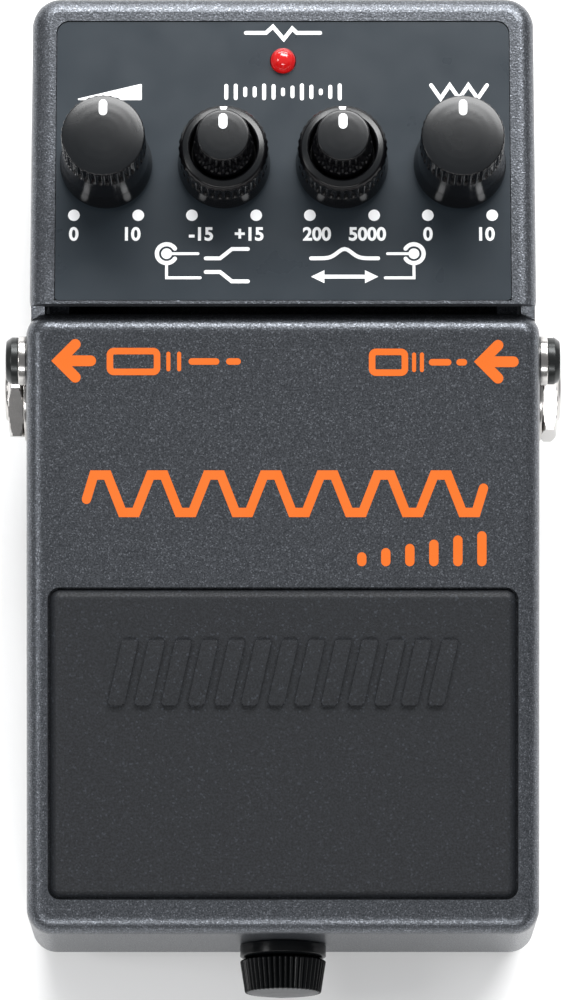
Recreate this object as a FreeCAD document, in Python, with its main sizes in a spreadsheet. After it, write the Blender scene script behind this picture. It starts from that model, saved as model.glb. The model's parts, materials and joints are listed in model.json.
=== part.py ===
"""Guitar effects pedal with a sprung treadle over a die-cast case.

Frame, in millimetres: +X to the right, +Y to the rear (the knob end), +Z up.
The origin is at the centre of the bounding box, on the floor under the rubber base.
"""
import FreeCAD, Part
import math
import os
import re
import Sketcher
from FreeCAD import Placement, Rotation, Vector

SIZES = {
    # base
    "base_top": 3.0,
    "rubber_thick": 1.8,
    "base_front_y": -56.4,
    "base_half": 32.6,
    "base_screw_radius": 1.25,
    "base_head_radius": 2.8,
    "base_head_z": 0.5,
    # die-cast case
    "panel_top": 44.5,
    "case_half": 33.8,
    "case_rear_y": 63.0,
    "case_draft": 1.9,
    "case_corner": 3.8,
    "case_round": 2.3,
    "roof_under": 42.2,
    "cheek_front_y": 7.0,
    "cheek_top": 27.2,
    "lip_y": 20.4,
    "rear_wall": 3.6,
    "lip_wall": 2.4,
    "cast_wall": 2.2,
    "roof_hollow_half": 30.0,
    "cheek_hollow_half": 30.6,
    "tub_hollow_half": 27.4,
    "bay_hollow_half": 10.0,
    "bay_wall": 1.4,
    "notch_half": 2.2,
    "well_wall": 1.6,
    "slot_gap": 0.6,
    "boss_radius": 3.0,
    "boss_height": 8,
    "boss_bore_depth": 7,
    # front tub, which the treadle hides
    "tub_half": 29.8,
    "tub_front_y": -53.6,
    "shelf_top": 18.6,
    "shelf_under": 16.4,
    "bay_rim": 22.0,
    "bay_floor": 5.4,
    "bay_front_y": -20.9,
    "bay_rear_y": 6.1,
    "bay_half": 27.2,
    # hinge
    "pivot_y": 15.2,
    "pivot_z": 35.0,
    "swing_radius": 9.6,
    "ear_radius": 4.2,
    "ear_inner_x": 27.8,
    "ear_outer_x": 30.35,
    "pivot_screw_radius": 1.75,
    "bush_radius": 2.75,
    "bush_bore": 1.8,
    "pivot_head_radius": 3.05,
    "pivot_head_round": 0.9,
    "pivot_head_start": 1.2,
    "pivot_head_end": 2.9,
    "pivot_washer_radius": 3.2,
    "lug_inner_x": 30.6,
    "lug_thick": 1.7,
    # treadle
    "treadle_half": 33.0,
    "treadle_skin": 2.2,
    "treadle_rear_y": 20.1,
    "treadle_front_y": -57.8,
    "treadle_mid_z": 38.49,
    "treadle_slope": 13.2,
    "skirt_bottom": 6.2,
    "skirt_back_y": 5.4,
    "strip_bottom": 29.0,
    "flange_bottom": 39.4,
    "treadle_front_corner": 3.3,
    "treadle_rear_corner": 2.8,
    "treadle_round": 2.5,
    # rubber pad in its recess, measured along the slope
    "recess_half": 30.2,
    "recess_front": -55.2,
    "recess_rear": -15.1,
    "recess_depth": 1.6,
    "recess_corner": 1.6,
    "recess_floor": 3.3,
    "pad_gap": 0.25,
    "pad_thick": 2.0,
    "pad_chamfer": 0.9,
    # thumbscrew through the front wall
    "screw_z": 13.0,
    "shank_radius": 2.0,
    "thumb_radius": 5.6,
    "thumb_tip_radius": 4.95,
    "collar_rear_y": -57.9,
    "collar_front_y": -59.6,
    "thumb_face_y": -64.1,
    "thumb_tip_y": -64.5,
    # coil spring and foot switch on the shelf
    "spring_x": -14.0,
    "switch_x": 14.0,
    "works_y": -38.0,
    "spring_radius": 6.2,
    "spring_wire": 0.75,
    "spring_foot": 8.4,
    "spring_head": 24.0,
    "spring_turns": 6.5,
    "well_radius": 8.0,
    "plunger_radius": 3.0,
    "plunger_top": 21.6,
    "presser_radius": 4.5,
    "presser_gap": 0.35,
    "presser_length": 7.5,
    "seat_rim": 1.9,
    "seat_height": 4.2,
    "switch_half": 6,
    "switch_floor": 8.8,
    "switch_board_under": 7.2,
    # sockets in the cheeks
    "jack_y": 15.1,
    "jack_z": 20.0,
    "jack_bore": 3.25,
    "jack_thread": 4.4,
    "jack_nut_flats": 12.6,
    "jack_washer_x": 33.5,
    "jack_nut_x": 34.0,
    "jack_nut_end": 36.0,
    "jack_end_x": 36.5,
    "jack_body_x": 30.5,
    "jack_body_end": 6.4,
    "jack_body_front": 5.8,
    "jack_body_rear": 7.2,
    "jack_body_under": 5.6,
    "jack_seat_rim": 2.8,
    "jack_washer_rim": 2.5,
    # power socket in the rear wall
    "power_x": 14.0,
    "power_z": 31.0,
    "power_radius": 5.2,
    "power_bore": 2.8,
    "power_pin": 1.05,
    "power_rear_y": 64.5,
    "power_front_y": 47.5,
    "power_half": 5.5,
    "power_rise": 5.6,
    # boards, and the battery in its bay
    "board_top": 14.4,
    "board_thick": 1.6,
    "battery_left_x": -26.6,
    "battery_right_x": 21.9,
    "battery_height": 17.3,
    "battery_round": 1.6,
    "stud_offset": 6.35,
    "stud_rise": 8.7,
    "lead_radius": 0.6,
    # control panel
    "plate_half": 29.2,
    "plate_front_y": 20.9,
    "plate_rear_y": 58.1,
    "plate_thick": 0.8,
    "plate_sink": 0.15,
    "plate_corner": 1.6,
    "knob_row_y": 38.7,
    "knob_pitch": 15.15,
    "lamp_y": 52.85,
    "lamp_radius": 1.6,
    # knobs and control shafts
    "pot_thread": 3.0,
    "pot_half": 5.6,
    "pot_under": 33.5,
    "pot_ring_radius": 4.4,
    "pot_ring_thick": 0.5,
    "pot_nut_flats": 7.6,
    "pot_nut_thick": 1.7,
    "thin_shaft": 2.0,
    "outer_shaft": 2.5,
    "inner_shaft": 1.5,
    "shaft_gap": 0.05,
}

doc = FreeCAD.newDocument("EffectsPedal")
sheet = doc.addObject("Spreadsheet::Sheet", "Sizes")
for row, (alias, number) in enumerate(SIZES.items(), start=1):
    sheet.set(f"A{row}", alias)
    sheet.set(f"B{row}", str(number))
    sheet.setAlias(f"B{row}", alias)
doc.recompute()

ALONG = {
    "x": Rotation(Vector(0, 1, 0), 90),
    "y": Rotation(Vector(1, 0, 0), -90),
    "z": Rotation(),
}
LEFT_RIGHT = (("left", -1), ("right", 1))
BASE_SCREWS = [(x, y) for y in ("-48.2", "case_rear_y - 7.4") for x in ("-24", "24")]
nodes = []


# ---------------------------------------------------------------- drawing tools

def sized(formula):
    """Point each size's name in a formula at its cell in the sheet."""
    def cell(word):
        name = word.group(0)
        return "Sizes." + name if name in SIZES else name
    return re.sub(r"[a-z]+(?:_[a-z]+)+", cell, str(formula))


def value(formula):
    """What a formula comes to now."""
    return float(sheet.evalExpression(sized(formula)))


def bind(obj, **formulas):
    for prop, formula in formulas.items():
        obj.setExpression(prop, sized(formula))


def place(obj, x=0, y=0, z=0, along="z"):
    obj.Placement = Placement(Vector(value(x), value(y), value(z)), ALONG[along])
    bind(obj, **{"Placement.Base.x": x, "Placement.Base.y": y, "Placement.Base.z": z})
    return obj


def box(name, x, y, z):
    """A block between pairs of low and high formulas."""
    obj = doc.addObject("Part::Box", name)
    for side, (low, high) in zip(("Length", "Width", "Height"), (x, y, z)):
        bind(obj, **{side: f"({high}) - ({low})"})
    return place(obj, x[0], y[0], z[0])


def cylinder(name, radius, length, x=0, y=0, z=0, along="z"):
    obj = doc.addObject("Part::Cylinder", name)
    bind(obj, Radius=radius, Height=length)
    return place(obj, x, y, z, along)


def cone(name, radius, end_radius, length, x=0, y=0, z=0, along="z"):
    obj = doc.addObject("Part::Cone", name)
    bind(obj, Radius1=radius, Radius2=end_radius, Height=length)
    return place(obj, x, y, z, along)


def hexagon(name, flats, length, x=0, y=0, z=0, along="z"):
    obj = doc.addObject("Part::Prism", name)
    obj.Polygon = 6
    bind(obj, Circumradius=f"({flats}) / sqrt(3)", Height=length)
    return place(obj, x, y, z, along)


def fuse(name, *parts):
    obj = doc.addObject("Part::MultiFuse", name)
    obj.Shapes = list(parts)
    obj.Refine = True
    return obj


def cut(name, whole, *tools):
    obj = doc.addObject("Part::Cut", name)
    obj.Base = whole
    obj.Tool = tools[0] if len(tools) == 1 else fuse(name + "_cutters", *tools)
    return obj


def group(name, parts):
    obj = doc.addObject("Part::Compound", name)
    obj.Links = list(parts)
    return obj


def rounded(name, source, radius, keep):
    """Fillet the edges of an object for which keep(edge) is true."""
    doc.recompute()
    obj = doc.addObject("Part::Fillet", name)
    obj.Base = source
    picked = [i for i, edge in enumerate(source.Shape.Edges, start=1) if keep(edge)]
    obj.Edges = [(i, value(radius), value(radius)) for i in picked]
    return obj


def upright(edge):
    ends = [vertex.Point for vertex in edge.Vertexes]
    return len(ends) == 2 and abs(ends[0].z - ends[1].z) > 0.8 * edge.Length


def node(obj, label):
    """Keep an object as one physical piece, which gives its file its name."""
    obj.Label = label
    nodes.append(obj)
    return obj


def new_body(name):
    return doc.addObject("PartDesign::Body", name)


def sketch_on(body, plane, offset=None):
    """An empty sketch on one of the body's own origin planes."""
    sketch = body.newObject("Sketcher::SketchObject", "Outline")
    origin_plane = next(f for f in body.Origin.OriginFeatures if f.Role == plane)
    sketch.AttachmentSupport = [(origin_plane, "")]
    sketch.MapMode = "FlatFace"
    if offset is not None:
        sketch.AttachmentOffset = offset
    return sketch


def fix_point(sketch, line, end, point):
    """Tie one end of a line to a pair of formulas."""
    for kind, formula in zip(("DistanceX", "DistanceY"), point):
        index = sketch.addConstraint(Sketcher.Constraint(kind, line, end, value(formula)))
        sketch.setExpression(f"Constraints[{index}]", sized(formula))


def outline(sketch, points):
    """A closed outline through points given as pairs of formulas."""
    flat = [Vector(value(a), value(b), 0) for a, b in points]
    count = len(flat)
    first = sketch.GeometryCount
    for i in range(count):
        sketch.addGeometry(Part.LineSegment(flat[i], flat[(i + 1) % count]), False)
    for i in range(count):
        after = first + (i + 1) % count
        sketch.addConstraint(Sketcher.Constraint("Coincident", first + i, 2, after, 1))
        fix_point(sketch, first + i, 1, points[i])


def rectangle(sketch, x, y):
    outline(sketch, [(x[0], y[0]), (x[1], y[0]), (x[1], y[1]), (x[0], y[1])])


def circle(sketch, radius, x, y):
    centre = Vector(value(x), value(y), 0)
    ring = sketch.addGeometry(Part.Circle(centre, Vector(0, 0, 1), value(radius)), False)
    index = sketch.addConstraint(Sketcher.Constraint("Radius", ring, value(radius)))
    sketch.setExpression(f"Constraints[{index}]", sized(radius))
    fix_point(sketch, ring, 3, (x, y))


def raised(height):
    """A sketch plane at some height over the XY plane."""
    return Placement(Vector(0, 0, value(height)), Rotation())


def pad(body, sketch, length, sides="One side", taper="0"):
    feature = body.newObject("PartDesign::Pad", "Pad")
    feature.Profile = sketch
    feature.SideType = sides
    bind(feature, Length=length, TaperAngle=taper)
    doc.recompute()
    return feature


def pocket(body, sketch, length, sides="One side", upwards=False):
    """Cut a sketch's outline away, and make sure that something went."""
    before = body.Shape.Volume
    feature = body.newObject("PartDesign::Pocket", "Pocket")
    feature.Profile = sketch
    feature.SideType = sides
    feature.Reversed = upwards
    bind(feature, Length=length)
    doc.recompute()
    if body.Shape.Volume > before - 0.01:
        raise ValueError(f"a pocket in {body.Label} cut nothing")
    return feature


def fillet(body, radius, keep):
    """Round the edges of a body's last feature for which keep(edge) is true."""
    source = body.Tip
    picked = [f"Edge{i}" for i, edge in enumerate(source.Shape.Edges, start=1) if keep(edge)]
    feature = body.newObject("PartDesign::Fillet", "Fillet")
    feature.Base = (source, picked)
    bind(feature, Radius=radius)
    doc.recompute()
    return feature


def middle(edge):
    return edge.CenterOfMass


def turned(name, profile, x=0, y=0, z=0):
    """A solid of revolution about Z from pairs of radius and height."""
    body = new_body(name)
    sketch = sketch_on(body, "XZ_Plane")
    outline(sketch, profile)
    feature = body.newObject("PartDesign::Revolution", "Revolution")
    feature.Profile = sketch
    feature.ReferenceAxis = (sketch, ["V_Axis"])
    feature.Angle = 360
    place(body, x, y, z)
    return body


def knob_x(index):
    """Formula for the X of one of the four control axes, counted from the left."""
    return f"knob_pitch * ({index - 1.5})"


# ---------------------------------------------------------------- die-cast case

def make_case():
    case = new_body("case_casting")
    floor = raised("base_top")

    block = sketch_on(case, "XY_Plane", floor)
    rectangle(block, ("-case_half", "case_half"), ("cheek_front_y", "case_rear_y"))
    pad(case, block, "panel_top - base_top", taper="-case_draft")
    fillet(case, "case_corner", lambda e: upright(e) and middle(e).y > 30)
    top = value("panel_top")
    fillet(case, "case_round", lambda e: abs(middle(e).z - top) < 0.01 and middle(e).y > 12)

    # everything in front of the lip comes down to the cheeks
    step = sketch_on(case, "YZ_Plane")
    rectangle(step, ("-80", "lip_y"), ("cheek_top", "panel_top + 5"))
    pocket(case, step, "case_half * 3", "Symmetric")

    tub = sketch_on(case, "XY_Plane", floor)
    rectangle(tub, ("-tub_half", "tub_half"), ("tub_front_y", "cheek_front_y + 6"))
    pad(case, tub, "bay_rim - base_top")
    front = value("tub_front_y")
    fillet(case, "treadle_rear_corner", lambda e: upright(e) and middle(e).y < front + 1)
    shelf = sketch_on(case, "YZ_Plane")
    rectangle(shelf, ("tub_front_y - 9", "bay_front_y - 2.1"), ("shelf_top", "bay_rim + 9"))
    pocket(case, shelf, "case_half * 3", "Symmetric")

    # round hollow in which the treadle's rear edge swings
    swing = sketch_on(case, "YZ_Plane")
    circle(swing, "swing_radius", "pivot_y", "pivot_z")
    pocket(case, swing, "case_half * 3", "Symmetric")

    for side in (-1, 1):
        ear = sketch_on(case, "YZ_Plane", raised(f"{side} * ear_inner_x"))
        outline(ear, [
            ("skirt_back_y - 12", "bay_rim - 2"),
            ("pivot_y + 11", "bay_rim - 2"),
            ("pivot_y + 11", "pivot_z - 0.7"),
            ("pivot_y - 4.2", "pivot_z - 0.7"),
            ("skirt_back_y - 4", "pivot_z - 4"),
            ("skirt_back_y - 12", "bay_rim + 1"),
        ])
        ear_pad = pad(case, ear, "ear_outer_x - ear_inner_x")
        eye = sketch_on(case, "YZ_Plane", raised(f"{side} * ear_inner_x"))
        circle(eye, "ear_radius", "pivot_y", "pivot_z")
        eye_pad = pad(case, eye, "ear_outer_x - ear_inner_x")
        ear_pad.Reversed = side < 0
        eye_pad.Reversed = side < 0
    doc.recompute()

    # flat seats for the sockets' washers on the drafted cheeks
    seats = sketch_on(case, "YZ_Plane")
    circle(seats, "jack_thread + jack_seat_rim", "jack_y", "jack_z")
    pad(case, seats, "jack_washer_x * 2", "Symmetric")

    # hollows for the electronics, open to the base
    hollows = (
        ("roof_hollow_half", "pivot_y + swing_radius + lip_wall", "case_rear_y - rear_wall", "roof_under"),
        ("cheek_hollow_half", "cheek_front_y + cast_wall", "pivot_y + swing_radius + 3",
         "cheek_top - cast_wall"),
        ("tub_hollow_half", "tub_front_y + cast_wall", "bay_front_y - cast_wall - 0.1", "shelf_under"),
        ("bay_hollow_half", "bay_front_y - 3", "cheek_front_y + 3", "bay_floor - bay_wall"),
    )
    for half, low_y, high_y, high_z in hollows:
        hollow = sketch_on(case, "XY_Plane", floor)
        rectangle(hollow, (f"-{half}", half), (low_y, high_y))
        pocket(case, hollow, f"{high_z} - base_top", upwards=True)

    bay = sketch_on(case, "XY_Plane", raised("bay_rim"))
    rectangle(bay, ("-bay_half", "bay_half"), ("bay_front_y", "bay_rear_y"))
    pocket(case, bay, "bay_rim - bay_floor")
    lead_notch = sketch_on(case, "XY_Plane", raised("cheek_top + 1"))
    rectangle(lead_notch, ("-notch_half", "notch_half"), ("bay_rear_y - 1", "cheek_front_y + 3"))
    pocket(case, lead_notch, "cheek_top + 1 - shelf_top")

    # well for the coil spring, standing in the front hollow
    well = sketch_on(case, "XY_Plane", raised("spring_foot - well_wall"))
    circle(well, "well_radius + well_wall", "spring_x", "works_y")
    pad(case, well, "shelf_under - spring_foot + 2")
    well_bore = sketch_on(case, "XY_Plane", raised("shelf_top + 1"))
    circle(well_bore, "well_radius", "spring_x", "works_y")
    pocket(case, well_bore, "shelf_top + 1 - spring_foot")
    plunger_hole = sketch_on(case, "XY_Plane", raised("shelf_top + 1"))
    circle(plunger_hole, "plunger_radius + 0.4", "switch_x", "works_y")
    pocket(case, plunger_hole, "4")

    bosses = sketch_on(case, "XY_Plane", floor)
    bores = sketch_on(case, "XY_Plane", floor)
    for x, y in BASE_SCREWS:
        circle(bosses, "boss_radius", x, y)
        circle(bores, "base_screw_radius", x, y)
    pad(case, bosses, "boss_height")
    pocket(case, bores, "boss_bore_depth", upwards=True)

    # open-topped slot for the thumbscrew's shank
    slot = sketch_on(case, "XZ_Plane", raised("-(tub_front_y + 4)"))
    rectangle(slot, ("-shank_radius - slot_gap", "shank_radius + slot_gap"),
              ("screw_z - 5.6", "shelf_top + 2"))
    pocket(case, slot, "9", "Symmetric")

    cut_round_holes(case)
    return node(case, "case_shell")


def cut_round_holes(case):
    """Sockets, pivots, controls and lamp, each a round hole through one wall."""
    sockets = sketch_on(case, "YZ_Plane")
    circle(sockets, "jack_thread + 0.1", "jack_y", "jack_z")
    pocket(case, sockets, "case_half * 3", "Symmetric")
    pivots = sketch_on(case, "YZ_Plane")
    circle(pivots, "pivot_screw_radius", "pivot_y", "pivot_z")
    pocket(case, pivots, "case_half * 3", "Symmetric")
    power = sketch_on(case, "XZ_Plane", raised("-(case_rear_y - 2)"))
    circle(power, "power_radius + 0.1", "power_x", "power_z")
    pocket(case, power, "8", "Symmetric")
    controls = sketch_on(case, "XY_Plane", raised("panel_top"))
    for index in range(4):
        circle(controls, "pot_thread + 0.1", knob_x(index), "knob_row_y")
    circle(controls, "lamp_radius + 0.1", "0", "lamp_y")
    pocket(case, controls, "panel_top - roof_under + 1")
    recess = sketch_on(case, "XY_Plane", raised("panel_top"))
    rectangle(recess, ("-plate_half - 0.1", "plate_half + 0.1"),
              ("plate_front_y - 0.1", "plate_rear_y + 0.1"))
    pocket(case, recess, "plate_thick + plate_sink")
    far_y = value("plate_rear_y")
    fillet(case, "plate_corner + 0.1", lambda e: (
        upright(e) and e.Length < 1.5 and middle(e).y > far_y and middle(e).z > 43))


# ---------------------------------------------------------------- treadle

def slope_z(y, drop="0"):
    """Formula for the height of the treadle's top plane at some Y, less a drop."""
    return f"treadle_mid_z + ({y}) * tan(treadle_slope) - ({drop})"


def slope_plane(height="0"):
    """A sketch plane in the treadle's slope, some way over its surface."""
    tilt = Rotation(Vector(1, 0, 0), value("treadle_slope"))
    lift = tilt.multVec(Vector(0, 0, value(height)))
    return Placement(Vector(0, 0, value("treadle_mid_z")) + lift, tilt)


def make_treadle():
    treadle = new_body("treadle_casting")
    side = sketch_on(treadle, "YZ_Plane")
    outline(side, [
        ("treadle_front_y", "skirt_bottom"),
        ("skirt_back_y", "skirt_bottom"),
        ("skirt_back_y", "strip_bottom"),
        ("treadle_rear_y", "strip_bottom"),
        ("treadle_rear_y", slope_z("treadle_rear_y")),
        ("treadle_front_y", slope_z("treadle_front_y")),
    ])
    pad(treadle, side, "treadle_half * 2", "Symmetric")
    front, rear = value("treadle_front_y"), value("treadle_rear_y")
    fillet(treadle, "treadle_front_corner", lambda e: upright(e) and middle(e).y < front + 1)
    fillet(treadle, "treadle_rear_corner", lambda e: upright(e) and middle(e).y > rear - 1)

    def on_top(edge):
        return all(abs(v.Z - value(slope_z(v.Y))) < 0.01 for v in edge.Vertexes)
    fillet(treadle, "treadle_round", on_top)

    # the inside, thicker under the rubber pad's recess
    inside = sketch_on(treadle, "YZ_Plane")
    outline(inside, [
        ("treadle_front_y + treadle_skin", "0"),
        ("treadle_front_y + treadle_skin", slope_z("treadle_front_y + treadle_skin", "recess_floor")),
        ("recess_rear + 2.4", slope_z("recess_rear + 2.4", "recess_floor")),
        ("recess_rear + 2.4", slope_z("recess_rear + 2.4", "treadle_skin")),
        ("treadle_rear_y - treadle_skin", slope_z("treadle_rear_y - treadle_skin", "treadle_skin")),
        ("treadle_rear_y - treadle_skin", "flange_bottom"),
        ("treadle_rear_y + 6", "flange_bottom"),
        ("treadle_rear_y + 6", "0"),
    ])
    pocket(treadle, inside, "(treadle_half - treadle_skin) * 2", "Symmetric")
    for x in (("-treadle_half + treadle_skin", "-ear_inner_x + 0.3"),
              ("ear_inner_x - 0.3", "treadle_half - treadle_skin")):
        trim = sketch_on(treadle, "XZ_Plane", raised("-treadle_rear_y"))
        rectangle(trim, x, ("strip_bottom", "flange_bottom + 1.2"))
        pocket(treadle, trim, "8", "Symmetric")

    # ears that close the case's round hollow at each side
    for side_sign in (-1, 1):
        ear = sketch_on(treadle, "YZ_Plane", raised(f"{side_sign} * lug_inner_x"))
        arc_outline(ear)
        ear_pad = pad(treadle, ear, "lug_thick")
        ear_pad.Reversed = side_sign < 0
    doc.recompute()

    recess = sketch_on(treadle, "XY_Plane", slope_plane("2"))
    rectangle(recess, ("-recess_half", "recess_half"), ("recess_front", "recess_rear"))
    pocket(treadle, recess, "recess_depth + 2")
    corner_x = value("recess_half")
    fillet(treadle, "recess_corner", lambda e: (
        abs(abs(middle(e).x) - corner_x) < 0.01 and abs(e.Length - value("recess_depth")) < 0.05))

    pivots = sketch_on(treadle, "YZ_Plane")
    circle(pivots, "bush_radius + shaft_gap", "pivot_y", "pivot_z")
    pocket(treadle, pivots, "treadle_half * 3", "Symmetric")
    screw_hole = sketch_on(treadle, "XZ_Plane", raised("-treadle_front_y"))
    circle(screw_hole, "shank_radius + shaft_gap", "0", "screw_z")
    pocket(treadle, screw_hole, "8", "Symmetric")
    return node(treadle, "treadle_shell")


def arc_outline(sketch):
    """Side view of an ear: a sector of a disc about the pivot, joined to the skirt."""
    radius = value("swing_radius - 0.4")
    centre = Vector(value("pivot_y"), value("pivot_z"), 0)

    def rim(degrees):
        angle = math.radians(degrees)
        return centre + Vector(math.cos(angle), math.sin(angle), 0) * radius
    low, mid, high = rim(-4), rim(23), rim(50)
    inner_y = value("treadle_rear_y - 0.8")
    corner = Vector(inner_y, low.y, 0)
    shoulder = Vector(inner_y, high.y - 1.0, 0)
    sketch.addGeometry(Part.LineSegment(corner, low), False)
    sketch.addGeometry(Part.Arc(low, mid, high), False)
    sketch.addGeometry(Part.LineSegment(high, shoulder), False)
    sketch.addGeometry(Part.LineSegment(shoulder, corner), False)
    for line in range(4):
        sketch.addConstraint(Sketcher.Constraint("Block", line))


def make_pad():
    body = new_body("pad_moulding")
    sketch = sketch_on(body, "XY_Plane", slope_plane("-recess_depth"))
    rectangle(sketch, ("-recess_half + pad_gap", "recess_half - pad_gap"),
              ("recess_front + pad_gap", "recess_rear - pad_gap"))
    pad(body, sketch, "pad_thick")
    thick = value("pad_thick")
    fillet(body, "recess_corner - pad_gap", lambda e: abs(e.Length - thick) < 0.01)
    top_height = thick - value("recess_depth")
    normal = Rotation(Vector(1, 0, 0), value("treadle_slope")).multVec(Vector(0, 0, 1))
    start = Vector(0, 0, value("treadle_mid_z"))
    moulded = body.Tip
    picked = [f"Edge{i}" for i, e in enumerate(moulded.Shape.Edges, start=1)
              if abs((e.CenterOfMass - start).dot(normal) - top_height) < 0.01]
    chamfer = body.newObject("PartDesign::Chamfer", "Chamfer")
    chamfer.Base = (moulded, picked)
    bind(chamfer, Size="pad_chamfer")
    return node(body, "rubber_pad")


# ---------------------------------------------------------------- hinge, spring and thumbscrew

def make_hinge():
    screws, washers, bushes = [], [], []
    for side, sign in LEFT_RIGHT:
        def barrel(name, radius, low, high):
            start = f"-({high})" if sign < 0 else low
            return cylinder(f"{side}_{name}", radius, f"({high}) - ({low})",
                            start, "pivot_y", "pivot_z", "x")
        shank = barrel("screw_shank", "pivot_screw_radius", "ear_inner_x - 1.2",
                       "treadle_half + pivot_head_start + 0.1")
        head = barrel("screw_head", "pivot_head_radius", "treadle_half + pivot_head_start",
                      "treadle_half + pivot_head_end")
        outer_x = value("treadle_half + pivot_head_end - 0.1")
        head_round = rounded(f"{side}_screw_dome", head, "pivot_head_round", lambda e, s=sign, x=outer_x: (
            e.Curve.TypeId == "Part::GeomCircle" and middle(e).x * s > x))
        screws.append(fuse(f"{side}_pivot_screw", shank, head_round))
        ring = barrel("washer_ring", "pivot_washer_radius", "treadle_half + 0.1",
                      "treadle_half + pivot_head_start")
        washer_bore = barrel("washer_bore", "pivot_screw_radius + 0.05", "treadle_half", "treadle_half + 2")
        washers.append(cut(f"{side}_pivot_washer", ring, washer_bore))
        sleeve = barrel("bush_sleeve", "bush_radius", "ear_outer_x + 0.05", "treadle_half + 0.05")
        bush_hole = barrel("bush_hole", "bush_bore", "ear_outer_x - 1", "treadle_half + 1")
        bushes.append(cut(f"{side}_pivot_bush", sleeve, bush_hole))
    node(group("pivot_screw_pair", screws), "pivot_screws")
    node(group("pivot_washer_pair", washers), "pivot_washers")
    node(group("pivot_bush_pair", bushes), "pivot_bushes")


def make_spring():
    """Compression spring, a wire swept along a helix, standing in the case's well."""
    rise = value("(spring_head - spring_foot - 2 * spring_wire) / spring_turns")
    height = rise * value("spring_turns")
    radius, wire = value("spring_radius"), value("spring_wire")
    path = Part.makeHelix(rise, height, radius)
    section = Part.Wire(Part.makeCircle(wire, Vector(radius, 0, 0), Vector(0, 1, 0)))
    coil = doc.addObject("Part::Feature", "spring_coil")
    coil.Shape = Part.Wire(path.Edges).makePipeShell([section], True, True)
    place(coil, "spring_x", "works_y", "spring_foot + spring_wire")
    node(coil, "coil_spring")

    seat = cylinder("seat_cup", "spring_radius + seat_rim", "seat_height",
                    "spring_x", "works_y", "spring_head")
    underside = under_treadle("seat_trim")
    node(cut("spring_seat_moulding", seat, underside), "spring_seat")


def under_treadle(name):
    """A block that fills the space over the underside of the treadle's recessed plate."""
    cutter = new_body(name)
    side = sketch_on(cutter, "YZ_Plane")
    low_y, high_y = "works_y - 14", "works_y + 14"
    outline(side, [
        (low_y, slope_z(low_y, "recess_floor")),
        (high_y, slope_z(high_y, "recess_floor")),
        (high_y, slope_z(high_y, "recess_floor - 9")),
        (low_y, slope_z(low_y, "recess_floor - 9")),
    ])
    pad(cutter, side, "treadle_half * 2", "Symmetric")
    return cutter


def make_foot_switch():
    x, y = "switch_x", "works_y"
    presser = cylinder("presser_rod", "presser_radius", "presser_length", x, y, "plunger_top + presser_gap")
    node(cut("presser_moulding", presser, under_treadle("presser_trim")), "switch_presser")

    stem = cylinder("plunger_stem", "plunger_radius", "plunger_top - shelf_under + 1.4",
                    x, y, "shelf_under - 1.4")
    tip = rounded("plunger_rounded", stem, "0.4", lambda e: middle(e).z > value("plunger_top - 0.1"))
    node(tip, "switch_plunger")

    shell = box("switch_block", (f"{x} - switch_half", f"{x} + switch_half"),
                (f"{y} - switch_half", f"{y} + switch_half"), ("switch_floor", "shelf_under - 0.1"))
    bore = cylinder("switch_bore", "plunger_radius + 0.1", "5", x, y, "shelf_under - 4.2")
    node(cut("switch_case", shell, bore), "switch_body")
    node(box("switch_board", ("switch_x - 9", "switch_x + 12"), ("works_y - 6.5", "works_y + 9"),
             ("switch_board_under", "switch_floor")), "switch_pcb")


def make_thumbscrew():
    def facing(y):
        return ("0", y, "screw_z", "y")
    ring = cylinder("collar_ring", "thumb_radius", "collar_rear_y - collar_front_y - 0.02",
                    *facing("collar_front_y + 0.02"))
    ring_bore = cylinder("collar_bore", "shank_radius + shaft_gap", "6", *facing("collar_front_y - 2"))
    node(cut("collar_turned", ring, ring_bore), "thumbscrew_collar")

    grip = cone("thumb_grip", "thumb_tip_radius", "thumb_radius", "collar_front_y - thumb_face_y",
                *facing("thumb_face_y"))
    face = cone("thumb_face", "thumb_tip_radius - 1.2", "thumb_tip_radius", "thumb_face_y - thumb_tip_y",
                *facing("thumb_tip_y"))
    head = fuse("thumb_head", grip, face)
    socket = cylinder("thumb_socket", "shank_radius", "3.0", *facing("collar_front_y - 2.5"))
    node(cut("thumb_turned", head, socket), "thumbscrew_knob")
    shank = cylinder("screw_shank", "shank_radius", "tub_front_y + 2.8 - collar_front_y + 2.5",
                     *facing("collar_front_y - 2.5"))
    node(shank, "thumbscrew_shank")


# ---------------------------------------------------------------- sockets

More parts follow.
